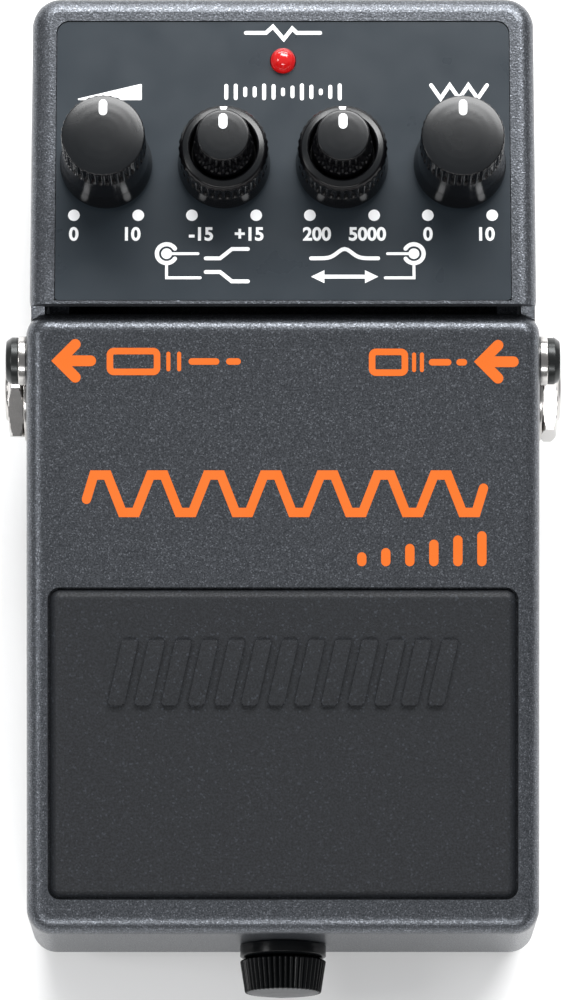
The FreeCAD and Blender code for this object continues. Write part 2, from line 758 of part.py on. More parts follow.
def make_jacks():
    for side, sign in LEFT_RIGHT:
        label = "output" if side == "left" else "input"

        def barrel(name, radius, low, high):
            start = f"-({high})" if sign < 0 else low
            return cylinder(f"{label}_{name}", radius, f"({high}) - ({low})",
                            start, "jack_y", "jack_z", "x")
        low, high = ("jack_body_end", "jack_body_x")
        ends = (f"-{high}", f"-{low}") if sign < 0 else (low, high)
        shell = box(f"{label}_shell", ends, ("jack_y - jack_body_front", "jack_y + jack_body_rear"),
                    ("jack_z - jack_body_under", "cheek_top - 2.4"))
        tunnel = barrel("tunnel", "jack_bore", "jack_body_end + 1.6", "jack_body_x + 1")
        node(cut(f"{label}_housing", shell, tunnel), f"{label}_jack_body")

        sleeve = barrel("sleeve", "jack_thread", "jack_body_x", "jack_end_x")
        sleeve_bore = barrel("sleeve_bore", "jack_bore", "jack_body_x - 1", "jack_end_x + 1")
        node(cut(f"{label}_barrel", sleeve, sleeve_bore), f"{label}_jack_bushing")

        disc = barrel("disc", "jack_thread + jack_washer_rim", "jack_washer_x", "jack_nut_x")
        disc_bore = barrel("disc_bore", "jack_thread + 0.05", "jack_washer_x - 1", "jack_nut_x + 1")
        node(cut(f"{label}_disc_cut", disc, disc_bore), f"{label}_jack_washer")

        nut_start = "-jack_nut_end" if sign < 0 else "jack_nut_x"
        nut = hexagon(f"{label}_hexagon", "jack_nut_flats", "jack_nut_end - jack_nut_x",
                      nut_start, "jack_y", "jack_z", "x")
        nut_bore = barrel("nut_bore", "jack_thread", "jack_nut_x - 1", "jack_nut_end + 1")
        node(cut(f"{label}_nut_cut", nut, nut_bore), f"{label}_jack_nut")


def make_power_socket():
    def facing(y):
        return ("power_x", y, "power_z", "y")
    block = box("power_block", ("power_x - power_half", "power_x + power_half"),
                ("power_front_y", "case_rear_y - rear_wall - 0.1"),
                ("power_z - power_rise", "power_z + power_rise"))
    nose = cylinder("power_nose", "power_radius", "power_rear_y - case_rear_y + 4.5",
                    *facing("case_rear_y - 4.5"))
    bore = cylinder("power_hole", "power_bore", "11", *facing("power_rear_y - 10"))
    node(cut("power_housing", fuse("power_shell", block, nose), bore), "dc_jack_housing")
    pin = cylinder("power_post", "power_pin", "8.5", *facing("power_rear_y - 10"))
    tip = rounded("power_post_tip", pin, "0.5", lambda e: middle(e).y > value("power_rear_y - 1.6"))
    node(tip, "dc_jack_pin")


# ---------------------------------------------------------------- base

def make_base():
    def sheet_metal(name, low, high, shrink, hole):
        blank = box(f"{name}_blank", (f"-base_half + {shrink}", f"base_half - {shrink}"),
                    (f"base_front_y + {shrink}", f"case_rear_y - 0.6 - {shrink}"), (low, high))
        trimmed = rounded(f"{name}_corners", blank, "case_corner - 0.6", upright)
        holes = [cylinder(f"{name}_hole", hole, "6", x, y, "-1") for x, y in BASE_SCREWS]
        return cut(f"{name}_pierced", trimmed, *holes)
    node(sheet_metal("plate", "rubber_thick", "base_top", "0", "base_screw_radius + 0.15"), "base_plate")
    node(sheet_metal("sole", "0", "rubber_thick", "0.3", "base_head_radius + 0.6"), "rubber_base")

    screws = []
    for x, y in BASE_SCREWS:
        head = cylinder("base_head", "base_head_radius", "rubber_thick - base_head_z", x, y, "base_head_z")
        shank = cylinder("base_shank", "base_screw_radius", "7.5", x, y, "rubber_thick")
        screws.append(fuse("base_screw", head, shank))
    node(group("base_screw_set", screws), "base_screws")
    node(box("fibre_sheet", ("-26", "26"), ("cheek_front_y + 4", "51"),
             ("base_top + 0.05", "base_top + 0.45")), "insulating_sheet")


# ---------------------------------------------------------------- battery

def make_battery():
    low_x, high_x = "battery_left_x", "battery_right_x"
    block = box("battery_block", (low_x, high_x), ("bay_front_y + 0.2", "bay_rear_y - 0.2"),
                ("bay_floor + 0.1", "bay_floor + battery_height"))
    middle_x = value("(battery_left_x + battery_right_x) / 2")
    can = rounded("battery_can", block, "battery_round", lambda e: abs(middle(e).x - middle_x) < 1)
    centre_y, centre_z = "(bay_front_y + bay_rear_y) / 2", "bay_floor + stud_rise"
    studs = [cylinder("battery_stud", radius, "2", high_x, f"{centre_y} + {side} * stud_offset",
                      centre_z, "x")
             for side, radius in ((-1, "2.8"), (1, "2.4"))]
    node(fuse("battery_cell", can, *studs), "battery")

    cap = box("snap_plate", (f"{high_x} + 0.2", f"{high_x} + 3.3"),
              (f"{centre_y} - 11.5", f"{centre_y} + 11.5"), (f"{centre_z} - 6", f"{centre_z} + 6"))
    cups = [cylinder("snap_cup", "3.0", "4", f"{high_x} - 0.9", f"{centre_y} + {side} * stud_offset",
                     centre_z, "x")
            for side in (-1, 1)]
    node(cut("snap_moulding", cap, *cups), "battery_snap")

    # two leads over the battery, through the notch and down to the main board
    leads = []
    for side in (-0.8, 0.8):
        y = value(centre_y) + side
        route = [
            Vector(23.7, y, value(centre_z) + 6.0),
            Vector(23.7, y, 24.2 + side / 2),
            Vector(12.0, -2.0 + side, 24.2),
            Vector(side, 4.0, 23.9),
            Vector(side, 8.2, 23.2),
            Vector(side, 11.0, 19.0),
            Vector(side, 11.0, value("board_top")),
        ]
        leads.append(wire_solid("battery_lead", route, value("lead_radius")))
    node(group("lead_pair", leads), "battery_leads")


def wire_solid(name, route, radius):
    """A round wire along straight runs joined by tangent arcs."""
    edges = []
    start = route[0]
    for before, corner, after in zip(route, route[1:], route[2:]):
        back, ahead = (before - corner), (after - corner)
        reach = 0.45 * min(back.Length, ahead.Length)
        enter = corner + back.normalize() * reach
        leave = corner + ahead.normalize() * reach
        half_angle = back.getAngle(ahead) / 2
        inward = (back + ahead).normalize()
        arc_radius = reach * math.tan(half_angle)
        mid = corner + inward * (arc_radius / math.sin(half_angle) - arc_radius)
        edges.append(Part.LineSegment(start, enter).toShape())
        edges.append(Part.Arc(enter, mid, leave).toShape())
        start = leave
    edges.append(Part.LineSegment(start, route[-1]).toShape())
    path = Part.Wire(edges)
    heading = route[1] - route[0]
    section = Part.Wire(Part.makeCircle(radius, route[0], heading))
    obj = doc.addObject("Part::Feature", name)
    obj.Shape = path.makePipeShell([section], True, False)
    return obj


# ---------------------------------------------------------------- boards

def make_boards():
    node(box("main_board", ("-28.5", "28.5"), ("cheek_front_y + 3.2", "51.5"),
             ("board_top - board_thick", "board_top")), "main_pcb")
    node(box("pot_board", ("-29", "29"), ("knob_row_y - 6.2", "knob_row_y + 6.8"),
             ("pot_under - board_thick", "pot_under")), "control_pcb")
    pins = [box("link_pin", (f"{x} - 0.3", f"{x} + 0.3"), ("33.7", "34.3"),
                ("board_top", "pot_under - board_thick"))
            for x in (-10 + 2.54 * step for step in range(8))]
    node(group("link_header", pins), "board_link_pins")

    parts = []
    for x, y in ((-20, 26), (-8, 26), (6, 26), (18, 26), (-20, 40), (-6, 40)):
        parts.append(box("chip", (f"{x} - 4.8", f"{x} + 4.8"), (f"{y} - 3.2", f"{y} + 3.2"),
                         ("board_top", "board_top + 3.4")))
    for x, y, tall in ((8, 40, 7), (15, 40, 9), (22, 40, 7), (-14, 47, 7), (0, 47, 5), (24, 47, 5)):
        parts.append(cylinder("capacitor", "2.5", tall, x, y, "board_top"))
    node(group("board_parts", parts), "main_pcb_components")

    ribbon = new_body("ribbon_strip")
    side = sketch_on(ribbon, "YZ_Plane", raised("5.5"))
    front, rear, low, high = "works_y + 7", "cheek_front_y + 5.3", "base_top + 0.5", "base_top + 0.8"
    outline(side, [
        (front, "switch_board_under"), (front, low), (rear, low), (rear, "board_top - board_thick"),
        (f"{rear} - 0.3", "board_top - board_thick"), (f"{rear} - 0.3", high),
        (f"{front} + 0.3", high), (f"{front} + 0.3", "switch_board_under"),
    ])
    pad(ribbon, side, "3.8")
    node(ribbon, "switch_ribbon")


# ---------------------------------------------------------------- control panel

def make_panel():
    blank = box("panel_blank", ("-plate_half", "plate_half"), ("plate_front_y", "plate_rear_y"),
                ("panel_top - plate_sink - plate_thick", "panel_top - plate_sink"))
    far = rounded("panel_far_corners", blank, "plate_corner", lambda e: (
        upright(e) and middle(e).y > value("knob_row_y")))
    near = rounded("panel_near_corners", far, "0.5", lambda e: (
        upright(e) and middle(e).y < value("plate_front_y + 0.1")))
    holes = [cylinder("control_hole", "pot_thread + 0.1", "4", knob_x(index), "knob_row_y", "panel_top - 2")
             for index in range(4)]
    lamp_hole = cylinder("lamp_hole", "lamp_radius + 0.1", "4", "0", "lamp_y", "panel_top - 2")
    node(cut("panel_pierced", near, lamp_hole, *holes), "panel_plate")

    stem = cylinder("lamp_stem", "lamp_radius", "4.0", "0", "lamp_y", "panel_top - 4.0")
    dome = doc.addObject("Part::Sphere", "lamp_dome")
    bind(dome, Radius="lamp_radius")
    place(dome, "0", "lamp_y", "panel_top")
    node(fuse("lamp", stem, dome), "led_lens")


def make_pots():
    plate_top = "panel_top - plate_sink"
    washers, nuts = [], []
    for index, name in enumerate(("level", "low_high", "middle", "gain")):
        x, y = knob_x(index), "knob_row_y"
        bore = "outer_shaft" if name in ("low_high", "middle") else "thin_shaft"
        can = box(f"{name}_can", (f"{x} - pot_half", f"{x} + pot_half"),
                  ("knob_row_y - pot_half", "knob_row_y + pot_half"), ("pot_under", "roof_under"))
        thread = cylinder(f"{name}_thread", "pot_thread", "5.2", x, y, "roof_under - 0.2")
        shaft_hole = cylinder(f"{name}_shaft_hole", f"{bore} + shaft_gap", "12", x, y, "pot_under + 3")
        node(cut(f"{name}_pot", fuse(f"{name}_pot_solid", can, thread), shaft_hole), f"{name}_pot_body")

        ring = cylinder("pot_ring", "pot_ring_radius", "pot_ring_thick", x, y, plate_top)
        ring_hole = cylinder("pot_ring_hole", "pot_thread + 0.05", "2", x, y, f"{plate_top} - 1")
        washers.append(cut("pot_washer", ring, ring_hole))
        nut = hexagon("pot_hexagon", "pot_nut_flats", "pot_nut_thick", x, y,
                      f"{plate_top} + pot_ring_thick")
        nut_hole = cylinder("pot_nut_hole", "pot_thread", "4", x, y, f"{plate_top} - 1")
        nuts.append(cut("pot_nut", nut, nut_hole))
    node(group("pot_washer_set", washers), "pot_washers")
    node(group("pot_nut_set", nuts), "pot_nuts")


SINGLE_KNOB = [
    ("4.9", "0.8"), ("5.95", "0.8"), ("5.9", "1.8"), ("5.5", "5.0"), ("5.32", "9.4"),
    ("5.25", "13.9"), ("4.9", "14.5"), ("0", "14.5"), ("0", "11"), ("thin_shaft", "11"),
    ("thin_shaft", "3.6"), ("4.9", "3.6"),
]
RING_KNOB = [
    ("4.9", "0.8"), ("5.95", "0.8"), ("5.85", "2.0"), ("5.6", "4.2"), ("5.73", "7.7"),
    ("5.45", "8.4"), ("4.4", "9.0"), ("4.25", "8.9"), ("4.25", "5.6"), ("outer_shaft", "5.6"),
    ("outer_shaft", "3.6"), ("4.9", "3.6"),
]
INNER_KNOB = [
    ("inner_shaft", "6.0"), ("3.9", "6.0"), ("3.85", "9.8"), ("3.45", "11.0"), ("3.3", "14.1"),
    ("3.0", "14.5"), ("0", "14.5"), ("0", "12"), ("inner_shaft", "12"),
]


def make_knobs():
    for index, name in ((0, "level"), (3, "gain")):
        spot = (knob_x(index), "knob_row_y", "panel_top")
        node(turned(f"{name}_cap", SINGLE_KNOB, *spot), f"{name}_knob")
        node(cylinder(f"{name}_rod", "thin_shaft", "18.9", knob_x(index), "knob_row_y", "panel_top - 8"),
             f"{name}_shaft")
    for index, inner, outer in ((1, "treble", "bass"), (2, "middle", "frequency")):
        spot = (knob_x(index), "knob_row_y", "panel_top")
        x = knob_x(index)
        node(turned(f"{outer}_cap", RING_KNOB, *spot), f"{outer}_ring_knob")
        tube = cylinder(f"{outer}_tube", "outer_shaft", "11.4", x, "knob_row_y", "panel_top - 6")
        bore = cylinder(f"{outer}_tube_bore", "inner_shaft + shaft_gap", "14", x, "knob_row_y",
                        "panel_top - 7")
        node(cut(f"{outer}_sleeve", tube, bore), f"{outer}_outer_shaft")
        node(turned(f"{inner}_cap", INNER_KNOB, *spot), f"{inner}_knob")
        node(cylinder(f"{inner}_rod", "inner_shaft", "19.8", x, "knob_row_y", "panel_top - 7.9"),
             f"{inner}_inner_shaft")


# ---------------------------------------------------------------- build and write

def problems():
    for obj in doc.Objects:
        if "Invalid" in obj.State or "Error" in obj.State:
            yield f"{obj.Label}: {obj.getStatusString()}"
    for piece in nodes:
        if piece.Shape.isNull() or not piece.Shape.isValid():
            yield f"{piece.Label}: no valid solid"


make_case()
make_base()
make_treadle()
make_pad()
make_hinge()
make_spring()
make_foot_switch()
make_thumbscrew()
make_jacks()
make_power_socket()
make_battery()
make_boards()
make_panel()
make_pots()
make_knobs()
doc.recompute()

found = list(problems())
if found:
    raise RuntimeError("; ".join(found))
os.makedirs("parts", exist_ok=True)
for piece in nodes:
    piece.Shape.exportStep(f"parts/{piece.Label}.step")
print(len(nodes), "pieces written")
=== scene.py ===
"""Guitar effects pedal: the looks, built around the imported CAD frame.

Everything is in metres in the row frame: +X right, +Y rear (knob end), +Z up.
"""
import json
import math

import bmesh
import bpy
from mathutils import Matrix, Vector


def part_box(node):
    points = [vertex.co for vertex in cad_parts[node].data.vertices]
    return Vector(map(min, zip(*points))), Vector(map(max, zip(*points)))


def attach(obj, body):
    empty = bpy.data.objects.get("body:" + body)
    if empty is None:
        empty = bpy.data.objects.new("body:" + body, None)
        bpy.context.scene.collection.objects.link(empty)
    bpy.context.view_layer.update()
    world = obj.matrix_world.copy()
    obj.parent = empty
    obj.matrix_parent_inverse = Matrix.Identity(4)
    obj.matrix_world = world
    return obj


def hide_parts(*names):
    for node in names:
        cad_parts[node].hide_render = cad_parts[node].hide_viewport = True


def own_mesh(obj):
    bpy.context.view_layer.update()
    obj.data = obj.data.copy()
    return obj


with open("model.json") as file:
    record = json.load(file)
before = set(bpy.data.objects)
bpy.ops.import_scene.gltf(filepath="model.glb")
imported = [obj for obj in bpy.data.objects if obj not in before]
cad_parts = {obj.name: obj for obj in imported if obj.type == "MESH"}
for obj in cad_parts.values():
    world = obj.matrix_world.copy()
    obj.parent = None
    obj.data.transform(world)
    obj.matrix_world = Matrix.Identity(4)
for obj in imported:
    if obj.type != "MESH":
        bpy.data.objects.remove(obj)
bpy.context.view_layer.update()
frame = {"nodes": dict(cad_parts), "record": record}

MM = 0.001
UP = Vector((0, 0, 1))
FRONT = Vector((0, -1, 0))
TREADLE_SLOPE = math.radians(13.2)
TREADLE_MID_Z = 38.49 * MM
ON_TREADLE = Matrix.Translation((0, 0, TREADLE_MID_Z)) @ Matrix.Rotation(TREADLE_SLOPE, 4, "X")
PANEL_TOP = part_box("panel_plate")[1].z
INK = 0.03 * MM
SHARP = math.radians(38)
TOUCHING = 1e-7


# ---------------------------------------------------------------- materials

class Finish:
    """A Principled material, and the procedural texture that feeds it."""

    def __init__(self, name, colour, roughness, metallic=0.0, **sockets):
        self.material = bpy.data.materials.new(name)
        self.material.use_nodes = True
        self.tree = self.material.node_tree
        self.shader = self.tree.nodes["Principled BSDF"]
        self.set("Base Color", (*colour, 1))
        self.set("Roughness", roughness)
        self.set("Metallic", metallic)
        for socket, number in sockets.items():
            self.set(socket.replace("_", " "), number)
        self.place = self.tree.nodes.new("ShaderNodeTexCoord").outputs["Object"]

    def set(self, socket, number):
        self.shader.inputs[socket].default_value = number

    def link(self, output, node, socket):
        self.tree.links.new(output, node.inputs[socket])

    def noise(self, size, detail=2.0):
        """Noise whose blobs are about size metres across."""
        node = self.tree.nodes.new("ShaderNodeTexNoise")
        node.inputs["Scale"].default_value = 1 / size
        node.inputs["Detail"].default_value = detail
        self.link(self.place, node, "Vector")
        return node.outputs["Fac"]

    def cells(self, size):
        """A random grey for each cell about size metres across."""
        node = self.tree.nodes.new("ShaderNodeTexVoronoi")
        node.inputs["Scale"].default_value = 1 / size
        self.link(self.place, node, "Vector")
        grey = self.tree.nodes.new("ShaderNodeSeparateColor")
        self.link(node.outputs["Color"], grey, "Color")
        return grey.outputs["Red"]

    def ramp(self, source, low, high, out_low=0.0, out_high=1.0):
        node = self.tree.nodes.new("ShaderNodeMapRange")
        self.link(source, node, "Value")
        for socket, number in (("From Min", low), ("From Max", high),
                               ("To Min", out_low), ("To Max", out_high)):
            node.inputs[socket].default_value = number
        return node.outputs["Result"]

    def mix(self, source, low, high):
        """Colour that goes from low to high as the source goes from 0 to 1."""
        node = self.tree.nodes.new("ShaderNodeMix")
        node.data_type = "RGBA"
        self.link(source, node, "Factor")
        for socket, colour in ((6, low), (7, high)):
            if isinstance(colour, bpy.types.NodeSocket):
                self.tree.links.new(colour, node.inputs[socket])
            else:
                node.inputs[socket].default_value = (*colour, 1)
        return node.outputs[2]

    def colour(self, output):
        self.link(output, self.shader, "Base Color")

    def roughness(self, output):
        self.link(output, self.shader, "Roughness")

    def bump(self, *layers):
        """Relief from (source, depth in metres) pairs, one over the other."""
        normal = None
        for source, depth in layers:
            node = self.tree.nodes.new("ShaderNodeBump")
            node.inputs["Strength"].default_value = 1.0
            node.inputs["Distance"].default_value = depth
            self.link(source, node, "Height")
            if normal is not None:
                self.link(normal, node, "Normal")
            normal = node.outputs["Normal"]
        self.link(normal, self.shader, "Normal")


def fleck_paint(name, dark, light, roughness):
    """Die-cast aluminium under textured metallic paint with fine sparkle."""
    metallic, sparkle = 0.72, 1.7
    finish = Finish(name, dark, roughness, metallic)
    grain = finish.noise(0.20 * MM, 4.0)
    cloud = finish.mix(finish.ramp(grain, 0.38, 0.64), dark, light)
    fleck = finish.ramp(finish.cells(0.15 * MM), 0.86, 0.99)
    finish.colour(finish.mix(fleck, cloud, [c * sparkle for c in light]))
    finish.roughness(finish.ramp(grain, 0.3, 0.7, roughness + 0.06, roughness - 0.06))
    finish.bump((finish.noise(0.26 * MM, 2.0), 0.034 * MM), (finish.noise(9 * MM, 1.0), 0.02 * MM))
    return finish.material


def satin(name, colour, roughness, depth=0.006, size=0.25, vary=0.10, metallic=0.0, **sockets):
    """A plain moulded, painted or plated finish with fine grain and slight unevenness."""
    finish = Finish(name, colour, roughness, metallic, **sockets)
    patch = finish.noise(6 * MM, 3.0)
    low = [c * (1 - vary) for c in colour]
    high = [min(1.0, c * (1 + vary)) for c in colour]
    finish.colour(finish.mix(patch, low, high))
    finish.roughness(finish.ramp(patch, 0.3, 0.7, roughness * 0.9, min(1.0, roughness * 1.1)))
    finish.bump((finish.noise(size * MM, 3.0), depth * MM))
    return finish.material


def rubber(name, colour, light):
    """Moulded rubber with a fine sandy skin and pale dust in it."""
    dust_gain = 1.9
    finish = Finish(name, colour, 0.58, Specular_IOR_Level=0.32)
    grain = finish.noise(0.26 * MM, 3.0)
    cloud = finish.mix(finish.ramp(grain, 0.40, 0.68), colour, light)
    dust = finish.ramp(finish.cells(0.22 * MM), 0.93, 0.99)
    finish.colour(finish.mix(dust, cloud, [c * dust_gain for c in light]))
    finish.roughness(finish.ramp(grain, 0.3, 0.7, 0.72, 0.52))
    finish.bump((grain, 0.055 * MM))
    return finish.material


def brushed(name, colour, roughness, along):
    """Turned or rolled bare metal whose fine lines run along one axis."""
    finish = Finish(name, colour, roughness, 1.0)
    stretch = finish.tree.nodes.new("ShaderNodeMapping")
    stretch.inputs["Scale"].default_value = [0.06 if axis == along else 1.0 for axis in "xyz"]
    finish.link(finish.place, stretch, "Vector")
    finish.place = stretch.outputs["Vector"]
    lines = finish.noise(0.12 * MM, 2.0)
    finish.colour(finish.mix(lines, [c * 0.86 for c in colour], colour))
    finish.roughness(finish.ramp(lines, 0.3, 0.7, roughness + 0.06, roughness - 0.04))
    finish.bump((lines, 0.003 * MM))
    return finish.material


def circuit_board():
    """Green solder mask over wandering copper tracks."""
    finish = Finish("board_mask", (0.01, 0.10, 0.05), 0.32)
    track = finish.ramp(finish.cells(1.6 * MM), 0.55, 0.60)
    finish.colour(finish.mix(track, (0.006, 0.075, 0.035), (0.02, 0.15, 0.07)))
    finish.bump((track, 0.02 * MM), (finish.noise(0.4 * MM), 0.004 * MM))
    return finish.material


def red_lens():
    """Clear red plastic, faintly lit from within."""
    finish = Finish("lamp_lens", (0.45, 0.008, 0.008), 0.10, Transmission_Weight=0.35,
                    Coat_Weight=0.6, Coat_Roughness=0.05, Emission_Strength=0.35)
    finish.set("Emission Color", (0.8, 0.01, 0.01, 1))
    depth = finish.noise(0.9 * MM)
    finish.colour(finish.mix(depth, (0.34, 0.004, 0.004), (0.52, 0.012, 0.012)))
    finish.bump((depth, 0.004 * MM))
    return finish.material


PAINT = fleck_paint("fleck_paint", (0.038, 0.042, 0.048), (0.102, 0.109, 0.122), 0.33)
PANEL = satin("panel_enamel", (0.020, 0.027, 0.034), 0.30, 0.001, 0.5, 0.05, 0.10,
              Specular_IOR_Level=0.34)
RUBBER = rubber("pad_rubber", (0.0045, 0.0054, 0.0072), (0.0110, 0.0128, 0.0160))
SOLE = rubber("sole_rubber", (0.010, 0.010, 0.011), (0.018, 0.018, 0.019))
KNOB_SIDE = satin("knob_gloss", (0.002, 0.002, 0.0025), 0.20, 0.001, 0.6, 0.05,
                  Specular_IOR_Level=0.20)
KNOB_TOP = satin("knob_satin", (0.0025, 0.0034, 0.0044), 0.26, 0.002, 0.35, 0.06)
BLACK = satin("black_moulding", (0.0018, 0.0022, 0.0026), 0.24, 0.003, 0.3, Specular_IOR_Level=0.18)
NYLON = satin("nylon", (0.62, 0.61, 0.57), 0.45)
INK_WHITE = satin("white_ink", (0.88, 0.89, 0.90), 0.45, 0.002, 0.2, 0.02)
INK_ORANGE = satin("orange_ink", (0.58, 0.110, 0.006), 0.42, 0.003, 0.25, 0.03)
CHROME = brushed("nickel_plate", (0.52, 0.505, 0.49), 0.18, "x")
ZINC = brushed("zinc_plate", (0.60, 0.61, 0.63), 0.34, "z")
SPRING = brushed("spring_wire", (0.55, 0.55, 0.56), 0.26, "z")
SHAFT = brushed("turned_shaft", (0.66, 0.66, 0.65), 0.30, "z")
BLACK_SCREW = satin("black_oxide", (0.022, 0.024, 0.024), 0.30, 0.004, 0.2, 0.12, 0.6)
BASE_STEEL = satin("base_enamel", (0.045, 0.049, 0.053), 0.45, 0.010, 0.3)
BOARD = circuit_board()
CARD = satin("fibre_card", (0.38, 0.33, 0.25), 0.75, 0.02, 0.5, 0.15)
BATTERY = satin("battery_can", (0.020, 0.022, 0.026), 0.30, 0.003, 0.3, 0.08, 0.7)
# painted light: the thumbscrew's end face is the same black plastic as its grip, made grey for the light it
# catches from the front
THUMB_FACE_PAINTED_LIGHT = satin("thumb_face", (0.066, 0.069, 0.072), 0.45, 0.004, 0.3, 0.05)
WIRE = satin("wire_red", (0.45, 0.02, 0.015), 0.40)
LENS = red_lens()


# ---------------------------------------------------------------- shape tools

def eased(share):
    """0 to 1 with a soft start and end."""
    share = min(1.0, max(0.0, share))
    return share * share * (3 - 2 * share)


def round_corners(corners, closed=False, steps=5):
    """Outline points in which each corner (a, b, radius) is an arc of that radius."""
    count = len(corners)
    points = []
    for i, (a, b, radius) in enumerate(corners):
        here = Vector((a, b))
        if radius == 0 or (not closed and i in (0, count - 1)):
            points.append(here)
            continue
        back = (Vector(corners[i - 1][:2]) - here).normalized()
        ahead = (Vector(corners[(i + 1) % count][:2]) - here).normalized()
        half = back.angle(ahead) / 2
        centre = here + (back + ahead).normalized() * (radius / math.sin(half))
        start = here + back * (radius / math.tan(half)) - centre
        end = here + ahead * (radius / math.tan(half)) - centre
        for step in range(steps + 1):
            share = step / steps
            points.append(centre + (start * (1 - share) + end * share).normalized() * radius)
    return points


def densify(points, gap):
    """The same outline with no two points further apart than gap."""
    dense = [points[0]]
    for low, high in zip(points, points[1:]):
        pieces = max(1, math.ceil((high - low).length / gap))
        dense += [low.lerp(high, step / pieces) for step in range(1, pieces + 1)]
    return dense


def lathe(profile, segments, reshape=None, closed=False):
    """A bmesh turned about Z from (radius, height) pairs; reshape moves its radius by angle."""
    bm = bmesh.new()
    rings = []
    for radius, height in profile:
        if radius < TOUCHING:
            rings.append([bm.verts.new((0, 0, height))])
            continue
        ring = []
        for step in range(segments):
            angle = math.tau * step / segments
            reach = reshape(radius, height, angle) if reshape else radius
            ring.append(bm.verts.new((reach * math.cos(angle), reach * math.sin(angle), height)))
        rings.append(ring)
    pairs = list(zip(rings, rings[1:]))
    if closed:
        pairs.append((rings[-1], rings[0]))
    for low, high in pairs:
        join_rings(bm, low, high)
    return bm


def join_rings(bm, low, high):
    count = max(len(low), len(high))
    for i in range(count):
        after = (i + 1) % count
        if len(low) == 1:
            bm.faces.new((low[0], high[i], high[after]))
        elif len(high) == 1:
            bm.faces.new((low[i], low[after], high[0]))
        else:
            bm.faces.new((low[i], low[after], high[after], high[i]))


def loft(rings):
    """A closed bmesh through rings of points with the same count, capped at both ends."""
    bm = bmesh.new()
    made = [[bm.verts.new(point) for point in ring] for ring in rings]
    for low, high in zip(made, made[1:]):
        join_rings(bm, low, high)
    bm.faces.new(made[0])
    bm.faces.new(made[-1])
    return bm


def prism(outline, low, high, edge=0.0):
    """A flat outline given some thickness, its upper rim rounded by edge."""
    bm = loft([[(x, y, z) for x, y in outline] for z in (low, high)])
    if edge:
        rim = [e for e in bm.edges if all(abs(v.co.z - high) < TOUCHING for v in e.verts)]
        bmesh.ops.bevel(bm, geom=rim, offset=edge, segments=3, profile=0.5, affect="EDGES",
                        clamp_overlap=True)
    return bm


def merged(parts):
    """One bmesh of several, which are used up."""
    whole = bmesh.new()
    for part in parts:
        scratch = bpy.data.meshes.new("scratch")
        part.to_mesh(scratch)
        part.free()
        whole.from_mesh(scratch)
        bpy.data.meshes.remove(scratch)
    return whole


def moved(bm, matrix):
    bmesh.ops.transform(bm, matrix=matrix, verts=bm.verts)
    return bm


def facing(origin, direction):
    """Puts a shape's own +Z along a direction, with its foot at the origin given."""
    turn = UP.rotation_difference(Vector(direction)).to_matrix().to_4x4()
    return Matrix.Translation(origin) @ turn


def piece(name, bm, body, finish, slot, *stands_for, sharp=SHARP):
    """Make an object of a bmesh in place, let it ride on a body and stand for CAD nodes."""
    bmesh.ops.recalc_face_normals(bm, faces=bm.faces)
    mesh = bpy.data.meshes.new(name)
    bm.to_mesh(mesh)
    bm.free()
    mesh.shade_smooth()
    mesh.set_sharp_from_angle(angle=sharp)
    mesh.materials.append(finish)
    obj = bpy.data.objects.new(name, mesh)
    bpy.context.scene.collection.objects.link(obj)
    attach(obj, body)
    if stands_for:
        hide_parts(*stands_for)
    return obj


def second_finish(obj, finish, keep):
    """Give the faces for which keep(face) is true another material."""
    obj.data.materials.append(finish)
    for face in obj.data.polygons:
        if keep(face):
            face.material_index = 1


def carved(bm, *cutters):
    """The bmesh with other closed bmeshes cut out of it."""
    objects = []
    for part in (bm, *cutters):
        bmesh.ops.recalc_face_normals(part, faces=part.faces)
        mesh = bpy.data.meshes.new("carving")
        part.to_mesh(mesh)
        part.free()
        obj = bpy.data.objects.new("carving", mesh)
        bpy.context.scene.collection.objects.link(obj)
        objects.append(obj)
    for tool in objects[1:]:
        cut = objects[0].modifiers.new("cut", "BOOLEAN")
        cut.object = tool
        cut.solver = "EXACT"
    shown = objects[0].evaluated_get(bpy.context.evaluated_depsgraph_get())
    result = bmesh.new()
    result.from_mesh(shown.to_mesh())
    for obj in objects:
        bpy.data.meshes.remove(obj.data)
    return result


def middle(node):
    """Centre of a CAD node's box."""
    low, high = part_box(node)
    return (low + high) / 2


def stadium(half_length, half_width, steps=8):
    """Outline of a bar with round ends, lying along X."""
    points = []
    for side in (1, -1):
        for step in range(steps + 1):
            angle = math.pi * (step / steps - 0.5)
            points.append((side * (half_length - half_width + half_width * math.cos(angle)),
                           side * half_width * math.sin(angle)))
    return points


def disc(radius, x=0.0, y=0.0, steps=28):
    angles = [math.tau * step / steps for step in range(steps)]
    return [(x + radius * math.cos(angle), y + radius * math.sin(angle)) for angle in angles]


def rounded_rectangle(x, y, radius, steps=6):
    corners = [(x[0], y[0], radius), (x[1], y[0], radius), (x[1], y[1], radius), (x[0], y[1], radius)]
    return round_corners(corners, closed=True, steps=steps)


def stroke(points, half_width, cap_steps=6):
    """Outline of a line of even width along points, with square joints and round ends."""
    line = [Vector(point) for point in points]
    heads = [(b - a).normalized() for a, b in zip(line, line[1:])]
    left, right = [], []
    for i, point in enumerate(line):
        if i in (0, len(line) - 1):
            head = heads[0] if i == 0 else heads[-1]
            side = Vector((-head.y, head.x)) * half_width
        else:
            before = Vector((-heads[i - 1].y, heads[i - 1].x))
            after = Vector((-heads[i].y, heads[i].x))
            across = (before + after).normalized()
            side = across * (half_width / across.dot(after))
        left.append(point + side)
        right.append(point - side)
    caps = []
    for centre, head in ((line[-1], heads[-1]), (line[0], -heads[0])):
        base = math.atan2(head.y, head.x)
        caps.append([centre + half_width * Vector((math.cos(base + math.pi * (0.5 - step / cap_steps)),
                                                   math.sin(base + math.pi * (0.5 - step / cap_steps))))
                     for step in range(1, cap_steps)])
    return left + caps[0] + right[::-1] + caps[1]


# ---------------------------------------------------------------- knobs

